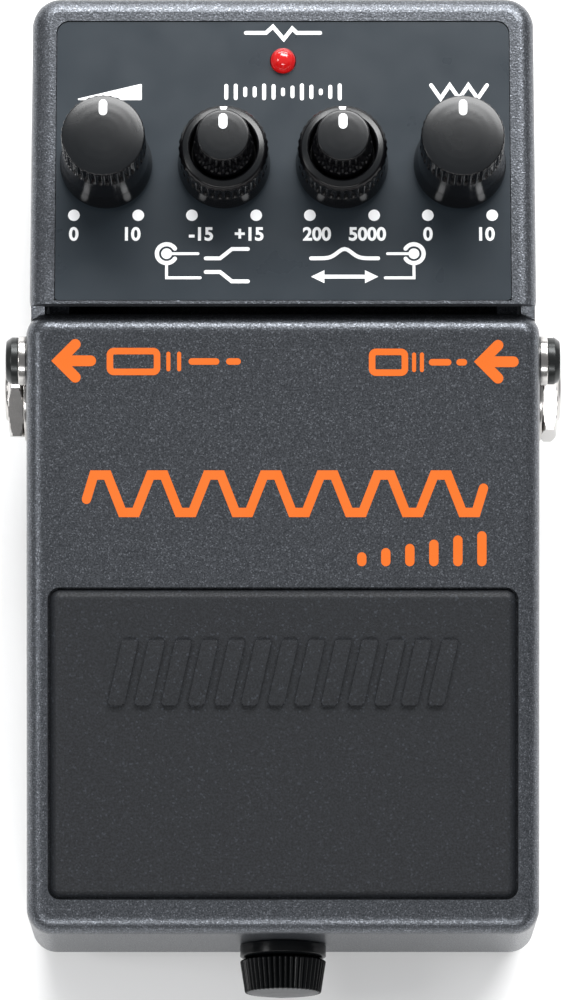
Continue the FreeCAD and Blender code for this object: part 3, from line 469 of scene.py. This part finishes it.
RIBS = 36
INNER_RIBS = 24
POINTER_LIFT = 0.05 * MM
POINTER_DEPTH = 0.25 * MM
FACES_UP = 0.93


def fluted(count, depth, low, high, fade, edge):
    """Reshape for lathe: grooves between two heights that die away downwards and inside edge."""
    def reshape(radius, height, angle):
        up = eased((height - low) / fade) * (1 - eased((height - high) / (0.4 * MM)))
        out = eased((radius - edge) / (0.35 * MM))
        groove = (0.5 - 0.5 * math.cos(count * angle)) ** 1.4
        return radius - depth * up * out * groove
    return reshape


def knob_piece(name, body, profile, grooves, pointer, node):
    """A turned, fluted cap with its pointer, standing on the control's axis.

    The profile is (radius, height over the panel, corner radius) in millimetres.
    """
    axis = middle(node)
    place = Matrix.Translation((axis.x, axis.y, PANEL_TOP))
    outline = densify(round_corners([(r * MM, h * MM, c * MM) for r, h, c in profile]), 0.3 * MM)
    cap = lathe(outline, RIBS * 8, fluted(*grooves))
    obj = piece(name, moved(cap, place), body, KNOB_SIDE, "knob_plastic", node)
    second_finish(obj, KNOB_TOP, lambda face: face.normal.z > FACES_UP)
    mark = [(x * MM, y * MM) for x, y in pointer["outline"]]
    low, high = (pointer["height"] * MM - h for h in (POINTER_DEPTH, -POINTER_LIFT))
    place = place @ pointer.get("tilt", Matrix())
    piece(name + "_pointer", moved(prism(mark, low, high, 0.03 * MM), place),
          body, INK_WHITE, "knob_plastic")


def upright_bar(centre_y, half_length, half_width):
    """Outline of a bar with round ends, lying along Y."""
    return [(-y, centre_y + x) for x, y in stadium(half_length, half_width)]


def make_knobs():
    """Two plain knobs, and two pairs of a ring knob with an inner knob in it."""
    lift = PANEL_TOP / MM
    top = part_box("level_knob")[1].z / MM - lift
    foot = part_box("level_knob")[0].z / MM - lift
    crown = top - 0.10
    single = [(0, foot + 1, 0), (4.7, foot + 1, 0.1), (4.7, foot, 0.1), (5.95, foot, 0.12),
              (5.93, foot + 0.75, 0.5), (5.52, foot + 3.9, 3.0), (5.34, foot + 8.6, 2.0),
              (5.32, crown - 0.40, 0.30), (4.4, crown - 0.22, 0), (3.3, crown - 0.09, 0),
              (2.2, crown - 0.01, 0), (1.1, crown + 0.03, 0), (0, crown + 0.045, 0)]
    fade = 0.28 * MM
    for control in ("level", "gain"):
        grooves = (RIBS, 0.36 * MM, (crown - 4.9) * MM, (crown - 0.75) * MM, fade, 4.75 * MM)
        pointer = {"outline": upright_bar(3.55, 1.04, 0.53), "height": crown - 0.05}
        knob_piece(control + "_cap", control + "_control", single, grooves, pointer, control + "_knob")

    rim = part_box("bass_ring_knob")[1].z / MM - lift
    ring = [(0, foot + 1, 0), (4.7, foot + 1, 0.1), (4.7, foot, 0.1), (5.95, foot, 0.12),
            (5.9, foot + 0.9, 0.5), (5.62, foot + 3.2, 2.0), (5.74, rim - 0.95, 0.35),
            (5.35, rim - 0.28, 0.5), (4.55, rim, 0.12), (4.3, rim - 0.12, 0.1),
            (4.25, foot + 4.8, 0.2), (2.6, foot + 4.8, 0), (0, foot + 4.8, 0)]
    inner = [(0, foot + 5.2, 0), (3.6, foot + 5.2, 0.1), (3.92, foot + 5.5, 0.2),
             (3.86, crown - 4.7, 0.9), (3.52, crown - 3.6, 1.2), (3.36, crown - 0.15, 0.26),
             (2.2, crown - 0.04, 0), (1.1, crown + 0.01, 0), (0, crown + 0.025, 0)]
    rim_lean = -0.33
    slant = Matrix.Translation((0, 5.0 * MM, (rim - 0.20) * MM)) @ Matrix.Rotation(rim_lean, 4, "X")
    wedge = [(-0.28, -0.36), (0.28, -0.36), (0.50, 0.36), (-0.50, 0.36)]
    for outer, core in (("bass", "treble"), ("frequency", "middle")):
        grooves = (RIBS, 0.34 * MM, (rim - 5.1) * MM, (rim - 1.15) * MM, fade, 5.15 * MM)
        pointer = {"outline": wedge, "height": 0.0, "tilt": slant}
        knob_piece(outer + "_ring_cap", outer + "_control", ring, grooves, pointer, outer + "_ring_knob")
        grooves = (INNER_RIBS, 0.28 * MM, (crown - 5.0) * MM, (crown - 0.75) * MM, fade, 2.95 * MM)
        pointer = {"outline": upright_bar(1.75, 1.02, 0.56), "height": crown - 0.03}
        knob_piece(core + "_cap", core + "_control", inner, grooves, pointer, core + "_knob")


# ---------------------------------------------------------------- treadle pieces

def make_pad():
    """Chamfered rubber pad in the treadle's recess, with a generic band of slanting grip bars."""
    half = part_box("rubber_pad")[1].x
    along = (-54.95 * MM, -15.35 * MM)
    sunk, proud, chamfer, corner = -1.6 * MM, 0.4 * MM, 0.9 * MM, 1.35 * MM
    # (inset, height) of each ring; the last one keeps the shading of the flat top even
    steps = ((0, sunk), (0, proud - chamfer - 0.06 * MM), (0.03 * MM, proud - chamfer + 0.04 * MM),
             (chamfer - 0.10 * MM, proud - 0.07 * MM), (chamfer + 0.06 * MM, proud),
             (chamfer + 0.40 * MM, proud))
    rings = []
    for inset, height in steps:
        ring = rounded_rectangle((-half + inset, half - inset), (along[0] + inset, along[1] - inset),
                                 max(corner - inset, 0.3 * MM))
        rings.append([(*point, height) for point in ring])
    piece("rubber_pad_moulding", moved(loft(rings), ON_TREADLE), "treadle", RUBBER, "rubber", "rubber_pad",
          sharp=math.radians(28))

    bars = []
    count, reach, tall, lean, thick = 13, 22.5 * MM, 8.4 * MM, 1.9 * MM, 1.05 * MM
    centre, soft = -26.0 * MM, 0.3 * MM
    bottom, top = centre - tall / 2, centre + tall / 2
    pitch = 2 * (reach - thick - lean / 2) / (count - 1)
    for index in range(count):
        x = -reach + thick + lean / 2 + index * pitch
        corners = [(x - lean / 2 - thick, bottom, soft), (x - lean / 2 + thick, bottom, soft),
                   (x + lean / 2 + thick, top, soft), (x + lean / 2 - thick, top, soft)]
        outline = round_corners(corners, closed=True)
        bars.append(prism(outline, proud - 0.3 * MM, proud + 0.50 * MM, 0.16 * MM))
    piece("pad_grip_bars", moved(merged(bars), ON_TREADLE), "treadle", RUBBER, "rubber")


def arrow(x, along, reach, half_height, half_width):
    """Outline of a left-pointing arrow with round ends, its tip at x."""
    lean = math.radians(45)
    arm = (half_height - half_width) / math.sin(lean)
    tip = x + half_width / math.sin(lean)
    fork = half_width * (1 + math.cos(lean)) / math.sin(lean)
    inner_x = tip + fork * math.cos(lean) + half_width * math.sin(lean)
    end = Vector((tip + arm * math.cos(lean), arm * math.sin(lean)))
    end_steps, tail_steps = 8, 4
    upper = [Vector((x, 0))]
    for step in range(end_steps + 1):
        angle = lean + math.pi / 2 - math.pi * step / end_steps
        upper.append(end + half_width * Vector((math.cos(angle), math.sin(angle))))
    upper.append(Vector((inner_x, half_width)))
    for step in range(tail_steps + 1):
        angle = math.pi / 2 * (1 - step / tail_steps)
        upper.append(Vector((x + reach - half_width + half_width * math.cos(angle),
                             half_width * math.sin(angle))))
    lower = [Vector((point.x, -point.y)) for point in upper[-2:0:-1]]
    return [(point.x, along + point.y) for point in upper + lower]


def hoop(outer, inner, low, high):
    """A flat band between two outlines that have the same number of points."""
    bm = bmesh.new()
    rings = [[bm.verts.new((x, y, z)) for x, y in outline]
             for outline, z in ((outer, low), (outer, high), (inner, high), (inner, low))]
    for near, far in zip(rings, rings[1:] + rings[:1]):
        join_rings(bm, near, far)
    return bm


def boxed(x, along, half_height, inset, radius):
    """Outline of a rounded box about along, drawn in by inset."""
    corner = max(radius - inset, 0.15 * MM)
    return rounded_rectangle((x[0] + inset, x[1] - inset),
                             (along - half_height + inset, along + half_height - inset), corner)


def plug_mark(x, along, reach, half_height, half_width):
    """Generic jack plug lying along X: outlined grip with ribs, collar, sleeve and tip."""
    grip, corner = (x, x + 0.40 * reach), 0.9 * MM
    parts = [hoop(boxed(grip, along, half_height, 0, corner),
                  boxed(grip, along, half_height, 2 * half_width, corner), -INK, INK)]
    for share in (0.46, 0.54):
        bar = [(x + share * reach + across, along + up)
               for across, up in upright_bar(0, half_height * 0.72, half_width * 0.62)]
        parts.append(prism(bar, -INK, INK))
    for low, high in ((0.61, 0.84), (0.89, 1.0)):
        centre = x + (low + high) / 2 * reach
        bar = [(centre + a, along + b) for a, b in stadium((high - low) / 2 * reach, half_width)]
        parts.append(prism(bar, -INK, INK))
    return parts


def clipped_wave(x, along, reach, half_height, turns):
    """Corners of an overdriven wave, whose crests are cut flat."""
    pitch = reach / turns
    points = []
    for index in range(int(turns * 2)):
        sign = 1 if index % 2 == 0 else -1
        start = x + index * pitch / 2
        points.append((start + 0.13 * pitch, along + sign * half_height))
        points.append((start + 0.37 * pitch, along + sign * half_height))
    return [(x, along - half_height * 0.3), *points, (x + reach, along + half_height * 0.3)]


def make_treadle_print():
    """Orange generic marks: arrows, plugs, an overdriven wave and level bars."""
    half = 0.60 * MM
    arrow_reach, arrow_half, arrow_line = 5.74 * MM, 2.8 * MM, 0.69 * MM
    plug_half, plug_line = 1.75 * MM, 0.42 * MM
    marks = []
    for x, along in ((-29.7, 13.94), (24.47, 13.82)):
        marks.append(prism(arrow(x * MM, along * MM, arrow_reach, arrow_half, arrow_line), -INK, INK))
    marks += plug_mark(-22.6 * MM, 13.85 * MM, 17.2 * MM, plug_half, plug_line)
    marks += plug_mark(11.0 * MM, 13.75 * MM, 12.6 * MM, plug_half, plug_line)
    wave = stroke(clipped_wave(-25.2 * MM, -3.1 * MM, 50.9 * MM, 2.4 * MM, 7), half)
    marks.append(prism(wave, -INK, INK))
    foot = -12.4 * MM
    for index in range(6):
        x = (10.1 + index * 3.08) * MM
        tall = (0.9 + 0.27 * index) * MM
        bar = [(x + across, foot + tall + along) for across, along in upright_bar(0, tall, half)]
        marks.append(prism(bar, -INK, INK))
    piece("treadle_print", moved(merged(marks), ON_TREADLE), "treadle", INK_ORANGE, "treadle_paint")


# ---------------------------------------------------------------- control panel pieces

def figures(text, x, y, tall):
    """A bmesh of digits centred at x, standing from y up, in the plain built-in face."""
    size_per_height, boldness = 1.40, 0.045
    curve = bpy.data.curves.new("figures", "FONT")
    curve.body = text
    curve.size = tall * size_per_height
    curve.align_x = "CENTER"
    curve.offset = boldness * tall
    curve.extrude = INK
    obj = bpy.data.objects.new("figures", curve)
    bm = bmesh.new()
    bm.from_mesh(obj.to_mesh())
    bpy.data.objects.remove(obj)
    return moved(bm, Matrix.Translation((x, y, 0)))


def ring_mark(x, y, side, text_x):
    """Outlines of the dot in an open ring, with a leader line from each to its own mark."""
    ring, half, core = 1.25 * MM, 0.27 * MM, 0.70 * MM
    start = 0 if side > 0 else math.pi
    arc = [(x + ring * math.cos(start + a), y + ring * math.sin(start + a))
           for a in (math.radians(32 + 296 * step / 30) for step in range(31))]
    line = 0.18 * MM
    low_y = y - 3.2 * MM
    straight = [(x + side * core * 0.8, y), (text_x - side * 0.6 * MM, y)]
    bent = [(x, y - ring), (x, low_y), (text_x - side * 0.3 * MM, low_y)]
    return [stroke(arc, half), disc(core, x, y), stroke(straight, line), stroke(bent, line)]


def make_panel_print():
    """White generic marks: dots, figures, tone curves and level symbols in place of words."""
    outlines, parts = [], []
    half = 0.25 * MM
    row_y = middle("level_knob").y
    dots_y, figure_y, figure_tall = row_y - 6.55 * MM, row_y - 9.85 * MM, 1.72 * MM
    scales = {"level_knob": ("0", "10"), "bass_ring_knob": ("-15", "+15"),
              "frequency_ring_knob": ("200", "5000"), "gain_knob": ("0", "10")}
    for node, words in scales.items():
        for side, word in zip((-1, 1), words):
            x = middle(node).x + side * 4.13 * MM
            outlines.append(disc(0.75 * MM, x, dots_y))
            inset = 1.2 * MM if "-" in word else 0.9 * MM
            parts.append(figures(word, x - side * inset * (len(word) > 1), figure_y, figure_tall))

    mark_y = row_y - 11.65 * MM
    outlines += ring_mark(-14.92 * MM, mark_y, 1, -10.3 * MM)
    outlines += ring_mark(16.78 * MM, mark_y, -1, 12.8 * MM)
    low_y = mark_y - 3.05 * MM
    rise, reach = 0.62 * MM, 5.4 * MM
    shelf = ((0, -1), (0.34, -1), (0.62, 1), (1, 1))
    for y, sign in ((mark_y, 1), (low_y, -1)):
        outlines.append(stroke([(-9.9 * MM + reach * a, y + sign * rise * b) for a, b in shelf], half))
    bell = [(3.6 * MM + 8.6 * MM * step / 24,
             mark_y - rise + 2 * rise * math.exp(-((step - 12) / 3.6) ** 2)) for step in range(25)]
    outlines.append(stroke(bell, half))
    outlines.append(stroke([(4.2 * MM, low_y), (11.6 * MM, low_y)], half))
    for tip, side in ((3.6 * MM, 1), (12.2 * MM, -1)):
        outlines.append([(tip, low_y), (tip + side * 1.7 * MM, low_y + 0.85 * MM),
                         (tip + side * 1.7 * MM, low_y - 0.85 * MM)][::side])

    lamp_y = middle("led_lens").y
    pulse = ((-4.8, 0), (-2.2, 0), (-1.3, 1.0), (0.1, -1.0), (1.2, 0.7), (1.8, 0), (4.8, 0))
    outlines.append(stroke([(a * MM, lamp_y + (3.75 + b * 0.85) * MM) for a, b in pulse], half))
    top_y = row_y + 9.95 * MM
    for index in range(13):
        tall = (0.42 + 0.72 * abs(math.sin(1.1 + index * 0.83))) * MM
        x = (index - 6) * 1.22 * MM
        outlines.append([(x + across, top_y + along) for across, along in upright_bar(0, tall, half)])
    for node in ("level_knob", "gain_knob"):
        x = middle(node).x
        if node == "level_knob":
            wedge = [(x - 4.5 * MM, top_y - 1.1 * MM, 0.1 * MM),
                     (x + 4.5 * MM, top_y - 1.1 * MM, 0.15 * MM),
                     (x + 4.5 * MM, top_y + 1.1 * MM, 0.15 * MM)]
            outlines.append(round_corners(wedge, closed=True))
        else:
            saw = [(x + (index - 3) * 1.2 * MM, top_y + (-0.9 if index % 2 else 0.9) * MM)
                   for index in range(7)]
            outlines.append(stroke(saw, half))
    # outlines that cross lie at slightly different heights, so no two faces coincide
    for index, outline in enumerate(outlines):
        parts.append(prism(outline, -INK, INK * (1 + 0.12 * (index % 5))))
    place = Matrix.Translation((0, 0, PANEL_TOP))
    piece("panel_print", moved(merged(parts), place), "case", INK_WHITE, "panel")


def make_lamp():
    """Domed lens of the check lamp."""
    low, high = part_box("led_lens")
    radius = (high.x - low.x) / 2
    dome = high.z - radius
    stem = radius * 0.94
    profile = [(0, low.z), (stem, low.z), (stem, PANEL_TOP - 0.1 * MM), (radius, PANEL_TOP)]
    angles = [math.pi / 2 * step / 14 for step in range(1, 15)]
    profile += [(radius * math.cos(angle), dome + radius * math.sin(angle)) for angle in angles]
    place = Matrix.Translation((middle("led_lens").x, middle("led_lens").y, 0))
    piece("lamp_lens_dome", moved(lathe(profile, 48), place), "case", LENS, "lens", "led_lens")


# ---------------------------------------------------------------- metalwork

def threaded(pitch, depth, low, high, edge):
    """Reshape for lathe: a screw thread cut between two heights on radii beyond edge."""
    def reshape(radius, height, angle):
        turn = (height / pitch + angle / math.tau) % 1
        ends = eased((height - low) / pitch) * eased((high - height) / pitch)
        return radius - (depth * abs(2 * turn - 1) * ends if radius > edge else 0)
    return reshape


def make_thumbscrew():
    """Knurled head, smooth collar behind it and threaded shank."""
    knurls = 46
    spot = middle("thumbscrew_knob")
    low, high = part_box("thumbscrew_knob")
    long = high.y - low.y
    wide = (high.x - low.x) / 2
    tip = wide * 0.885
    head = round_corners([(0, 0, 0), (wide * 0.86, 0, 0.1 * MM), (wide, 0.42 * MM, 0.12 * MM),
                          (tip, long - 0.42 * MM, 0.16 * MM), (tip * 0.5, long - 0.08 * MM, 0),
                          (0, long, 0)])
    grooves = fluted(knurls, 0.34 * MM, -2 * MM, long + 1 * MM, 0.1 * MM, tip * 0.86)
    place = facing((spot.x, high.y, spot.z), FRONT)
    obj = piece("thumbscrew_grip", moved(lathe(densify(head, 0.35 * MM), knurls * 6, grooves), place),
                "thumbscrew", BLACK, "black_plastic", "thumbscrew_knob", sharp=math.radians(50))
    # the front-facing end face takes the painted-light grey, which stands in for the light that falls on it
    second_finish(obj, THUMB_FACE_PAINTED_LIGHT, lambda face: face.normal.y < -0.9)

    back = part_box("thumbscrew_collar")[1].y
    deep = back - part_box("thumbscrew_collar")[0].y
    bore = 2.05 * MM
    ring = round_corners([(bore, 0, 0), (wide, 0, 0.12 * MM), (wide, deep - 0.25 * MM, 0.1 * MM),
                          (wide * 0.93, deep, 0.15 * MM), (bore, deep, 0)], closed=True)
    collar = lathe(ring, 96, closed=True)
    piece("thumbscrew_collar_ring", moved(collar, facing((spot.x, back, spot.z), FRONT)),
          "screw_collar", BLACK, "black_plastic", "thumbscrew_collar")

    low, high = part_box("thumbscrew_shank")
    long, radius = high.y - low.y, (high.x - low.x) / 2
    rod = densify(round_corners([(0, 0, 0), (radius * 0.8, 0, 0.05 * MM), (radius, 0.5 * MM, 0.1 * MM),
                                 (radius, long, 0), (0, long, 0)]), 0.09 * MM)
    cut = threaded(0.7 * MM, 0.28 * MM, 0.4 * MM, long - 3.5 * MM, radius * 0.9)
    piece("thumbscrew_thread", moved(lathe(rod, 40, cut), facing((spot.x, high.y, spot.z), FRONT)),
          "thumbscrew", ZINC, "zinc", "thumbscrew_shank")


def hex_nut(flats, bore, thick):
    """A chamfered hexagon nut standing on the XY plane, in metres."""
    corner, chamfer, steepness = flats / math.sqrt(3), 0.45 * MM, 2.2

    def reshape(radius, height, angle):
        if radius <= bore + 0.3 * MM:
            return radius
        sixth = (angle + math.pi / 6) % (math.pi / 3) - math.pi / 6
        flat = flats / 2 / math.cos(sixth)
        slope = corner - max(0.0, chamfer - min(height, thick - height)) * steepness
        return min(flat, slope) * radius / corner

    levels = [0, 0.12, 0.24, 0.36, 0.48]
    heights = [h * MM for h in levels] + [thick - h * MM for h in reversed(levels)]
    profile = [(corner * 0.80, 0)] + [(corner, h) for h in heights] + [(corner * 0.80, thick)]
    soft = 0.25 * MM
    profile += [(bore + soft, thick), (bore, thick - soft), (bore, soft), (bore + soft, 0)]
    return lathe(profile, 96, reshape, closed=True)


def tube(outer, bore, deep, soft):
    """A ring with softened edges, standing on the XY plane."""
    ring = round_corners([(bore, 0, soft), (outer, 0, soft), (outer, deep, soft), (bore, deep, soft)],
                         closed=True, steps=3)
    return lathe(ring, 72, closed=True)


def make_jacks():
    """Threaded sleeve, hexagon nut and washer of each socket."""
    for label in ("output", "input"):
        spot = middle(label + "_jack_nut")
        side = math.copysign(1, spot.x)

        def seat(node):
            low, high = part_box(node)
            inner = min(abs(low.x), abs(high.x))
            upright = facing((side * inner, spot.y, spot.z), (side, 0, 0))
            return upright, high.x - low.x, (high.z - low.z) / 2

        place, deep, radius = seat(label + "_jack_bushing")
        bore = 3.27 * MM
        profile = densify(round_corners([
            (bore, 0, 0), (radius, 0, 0.1 * MM), (radius, deep - 0.35 * MM, 0.05 * MM),
            (radius - 0.35 * MM, deep, 0.08 * MM), (bore + 0.25 * MM, deep, 0.1 * MM),
            (bore, deep - 0.3 * MM, 0.05 * MM)], closed=True, steps=3), 0.1 * MM)
        cut = threaded(0.8 * MM, 0.3 * MM, 0, deep, radius * 0.9)
        piece(label + "_jack_sleeve", moved(lathe(profile, 64, cut, closed=True), place), "case", CHROME,
              "chrome", label + "_jack_bushing")
        place, deep, radius = seat(label + "_jack_nut")
        place = place @ Matrix.Rotation(math.radians(30 if side > 0 else 18), 4, "Z")
        piece(label + "_jack_hex_nut", moved(hex_nut(radius * math.sqrt(3), 4.38 * MM, deep), place), "case",
              CHROME, "chrome", label + "_jack_nut", sharp=math.radians(18))
        place, deep, radius = seat(label + "_jack_washer")
        piece(label + "_jack_flat_washer", moved(tube(radius, 4.45 * MM, deep, 0.12 * MM), place), "case",
              CHROME, "chrome", label + "_jack_washer")


def cross_cutters(width, length, deep, top):
    """Two crossed tapering wedges that cut a cross recess down from height top."""
    cutters = []
    for turn in (0, math.pi / 2):
        rings = []
        for share, height in ((0.45, top - deep), (1.08, top + 0.3 * MM)):
            a, b = length / 2 * share, width / 2 * (0.7 + 0.3 * share)
            rings.append([(-a, -b, height), (a, -b, height), (a, b, height), (-a, b, height)])
        cutters.append(moved(loft(rings), Matrix.Rotation(turn, 4, "Z")))
    return cutters


def screw_head(radius, deep, crown, recess):
    """A domed head on the XY plane with a cross recess in it."""
    profile = round_corners([(0, 0, 0), (radius, 0, 0.08 * MM), (radius, deep - crown, crown * 0.45),
                             (radius * 0.84, deep - 0.12 * crown, crown * 0.5), (0, deep + 0.02 * MM, 0)])
    return carved(lathe(profile, 64), *cross_cutters(recess * 0.24, recess, deep * 0.62, deep))


def make_pivots():
    """Pivot screws with cross recesses, and the bright washers under their heads."""
    shank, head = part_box("pivot_screws")
    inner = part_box("pivot_washers")[1].x
    radius = (head.z - shank.z) / 2
    spot = middle("pivot_screws")
    rod_radius, rod_long, recess_turn, deep = 1.7 * MM, 7.4 * MM, 0.35, 1.1 * MM
    heads, washers = [], []
    for side in (-1, 1):
        out = (side, 0, 0)
        cap = screw_head(radius, head.x - inner - 0.02 * MM, 0.80 * MM, 3.6 * MM)
        place = facing((side * inner, spot.y, spot.z), out)
        heads.append(moved(cap, place @ Matrix.Rotation(recess_turn, 4, "Z")))
        rod = [(0, 0), (rod_radius, 0), (rod_radius, rod_long), (0, rod_long)]
        heads.append(moved(lathe(rod, 32), facing((side * (inner - rod_long), spot.y, spot.z), out)))
        ring = tube(radius + 0.14 * MM, 1.8 * MM, deep, 0.16 * MM)
        washers.append(moved(ring, facing((side * (inner - deep), spot.y, spot.z), out)))
    piece("pivot_screw_heads", merged(heads), "case", BLACK_SCREW, "black_screw", "pivot_screws")
    piece("pivot_plain_washers", merged(washers), "case", CHROME, "chrome", "pivot_washers")


def make_base_screws():
    """Four cross-recessed screws that hold the base plate, their heads facing down."""
    low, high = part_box("base_screws")
    radius, deep, rod_radius = 2.8 * MM, 1.3 * MM, 1.2 * MM
    screws = []
    for x in (low.x + radius, high.x - radius):
        for y in (low.y + radius, high.y - radius):
            seat = (x, y, low.z + deep)
            screws.append(moved(screw_head(radius, deep, 0.6 * MM, 3.2 * MM), facing(seat, -UP)))
            rod = [(0, 0), (rod_radius, 0), (rod_radius, high.z - seat[2]), (0, high.z - seat[2])]
            screws.append(moved(lathe(rod, 24), Matrix.Translation(seat)))
    piece("base_cross_screws", merged(screws), "case", ZINC, "zinc", "base_screws")


def make_spring():
    """Coil spring with closed end turns, given a mesh of its own.
    """
    low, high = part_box("coil_spring")
    wire = 0.74 * MM
    coil = (high.x - low.x) / 2 - wire
    spot = middle("coil_spring")
    turns, steps, sides = 8.2, 30, 12
    height = high.z - low.z - 2 * wire
    count = int(turns * steps)
    rings = []
    for step in range(count + 1):
        turn = step / steps
        soft = eased((turn - 0.35) / (turns - 0.7)) * 0.35
        even = min(1, max(0, (turn - 0.6) / (turns - 1.2))) * 0.65
        share = soft + even
        angle = math.tau * turn
        out = Vector((math.cos(angle), math.sin(angle), 0))
        centre = Vector((spot.x, spot.y, low.z + wire + height * share)) + out * coil
        rings.append([centre + wire * (out * math.cos(a) + UP * math.sin(a))
                      for a in (math.tau * side / sides for side in range(sides))])
    obj = piece("treadle_coil_spring", loft(rings), "hinge_sleeve", SPRING, "spring_steel", "coil_spring")
    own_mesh(obj)


# ---------------------------------------------------------------- carried-over nodes

FINISH_OF_SLOT = {
    "case_paint": PAINT, "treadle_paint": PAINT, "panel": PANEL, "rubber": RUBBER, "sole_rubber": SOLE,
    "knob_plastic": KNOB_SIDE, "black_plastic": BLACK, "nylon": NYLON, "chrome": CHROME, "zinc": ZINC,
    "black_screw": BLACK_SCREW, "base_steel": BASE_STEEL, "spring_steel": SPRING, "shaft_metal": SHAFT,
    "lens": LENS, "board": BOARD, "card": CARD, "battery_can": BATTERY, "wire": WIRE,
}


def finish_nodes():
    """Every node that came with the frame takes the finish of its own material slot."""
    for part in frame["record"]["subparts"]:
        mesh = frame["nodes"][part["node"]].data
        mesh.materials.clear()
        mesh.materials.append(FINISH_OF_SLOT[part["material_slot"]])


# ---------------------------------------------------------------- studio

def make_floor():
    """Plain pale floor."""
    half = 6.0
    bm = bmesh.new()
    corners = ((-half, -half), (half, -half), (half, half), (-half, half))
    bm.faces.new([bm.verts.new((x, y, 0)) for x, y in corners])
    mesh = bpy.data.meshes.new("studio_floor")
    bm.to_mesh(mesh)
    bm.free()
    finish = Finish("floor_paper", (0.90, 0.90, 0.90), 0.9, Specular_IOR_Level=0.1)
    finish.colour(finish.mix(finish.noise(0.3, 1.0), (0.89, 0.89, 0.89), (0.91, 0.91, 0.91)))
    mesh.materials.append(finish.material)
    floor = bpy.data.objects.new("studio_floor", mesh)
    bpy.context.scene.collection.objects.link(floor)


def aim(obj, place, target, up=None):
    """Put a light or camera somewhere and point it at a target."""
    ahead = (Vector(target) - Vector(place)).normalized()
    right = ahead.cross(up or UP).normalized()
    above = right.cross(ahead)
    turn = Matrix((right, above, -ahead)).transposed().to_4x4()
    obj.matrix_world = Matrix.Translation(place) @ turn


def softbox(name, place, width, depth, power):
    """A rectangular area light aimed at the middle of the part."""
    lamp = bpy.data.lights.new(name, "AREA")
    lamp.shape = "RECTANGLE"
    lamp.size = width
    lamp.size_y = depth
    lamp.energy = power
    obj = bpy.data.objects.new(name, lamp)
    bpy.context.scene.collection.objects.link(obj)
    aim(obj, place, (0, 0, 0.03))


def make_world():
    world = bpy.data.worlds.new("studio")
    world.use_nodes = True
    back = world.node_tree.nodes["Background"]
    back.inputs["Color"].default_value = (0.97, 0.98, 1.0, 1)
    back.inputs["Strength"].default_value = 0.30
    bpy.context.scene.world = world
    bpy.context.scene.view_settings.view_transform = "Standard"


def make_camera():
    tilt = math.radians(12.5)
    target = Vector((0, -3.8 * MM, 37.6 * MM))
    distance = 0.70
    frame_height = 128.2 * MM
    camera = bpy.data.cameras.new("camera")
    camera.sensor_width = 36.0
    camera.lens = camera.sensor_width * distance / frame_height
    camera.clip_start = 0.05
    camera.clip_end = 50
    obj = bpy.data.objects.new("camera", camera)
    bpy.context.scene.collection.objects.link(obj)
    above = Vector((0, -math.sin(tilt), math.cos(tilt)))
    aim(obj, target + above * distance, target, Vector((0, math.cos(tilt), math.sin(tilt))))
    bpy.context.scene.camera = obj


finish_nodes()
make_knobs()
make_pad()
make_treadle_print()
make_panel_print()
make_lamp()
make_thumbscrew()
make_jacks()
make_pivots()
make_base_screws()
make_spring()
make_floor()
softbox("rear_box", (0.16, 0.66, 0.80), 1.10, 0.42, 20.0)
softbox("rear_strip", (0.0, 1.05, 0.42), 1.40, 0.26, 10.0)
softbox("front_box", (-0.10, -0.86, 0.72), 1.30, 0.14, 8.0)
softbox("left_fill", (-0.90, -0.10, 0.85), 0.30, 0.30, 2.5)
make_world()
make_camera()
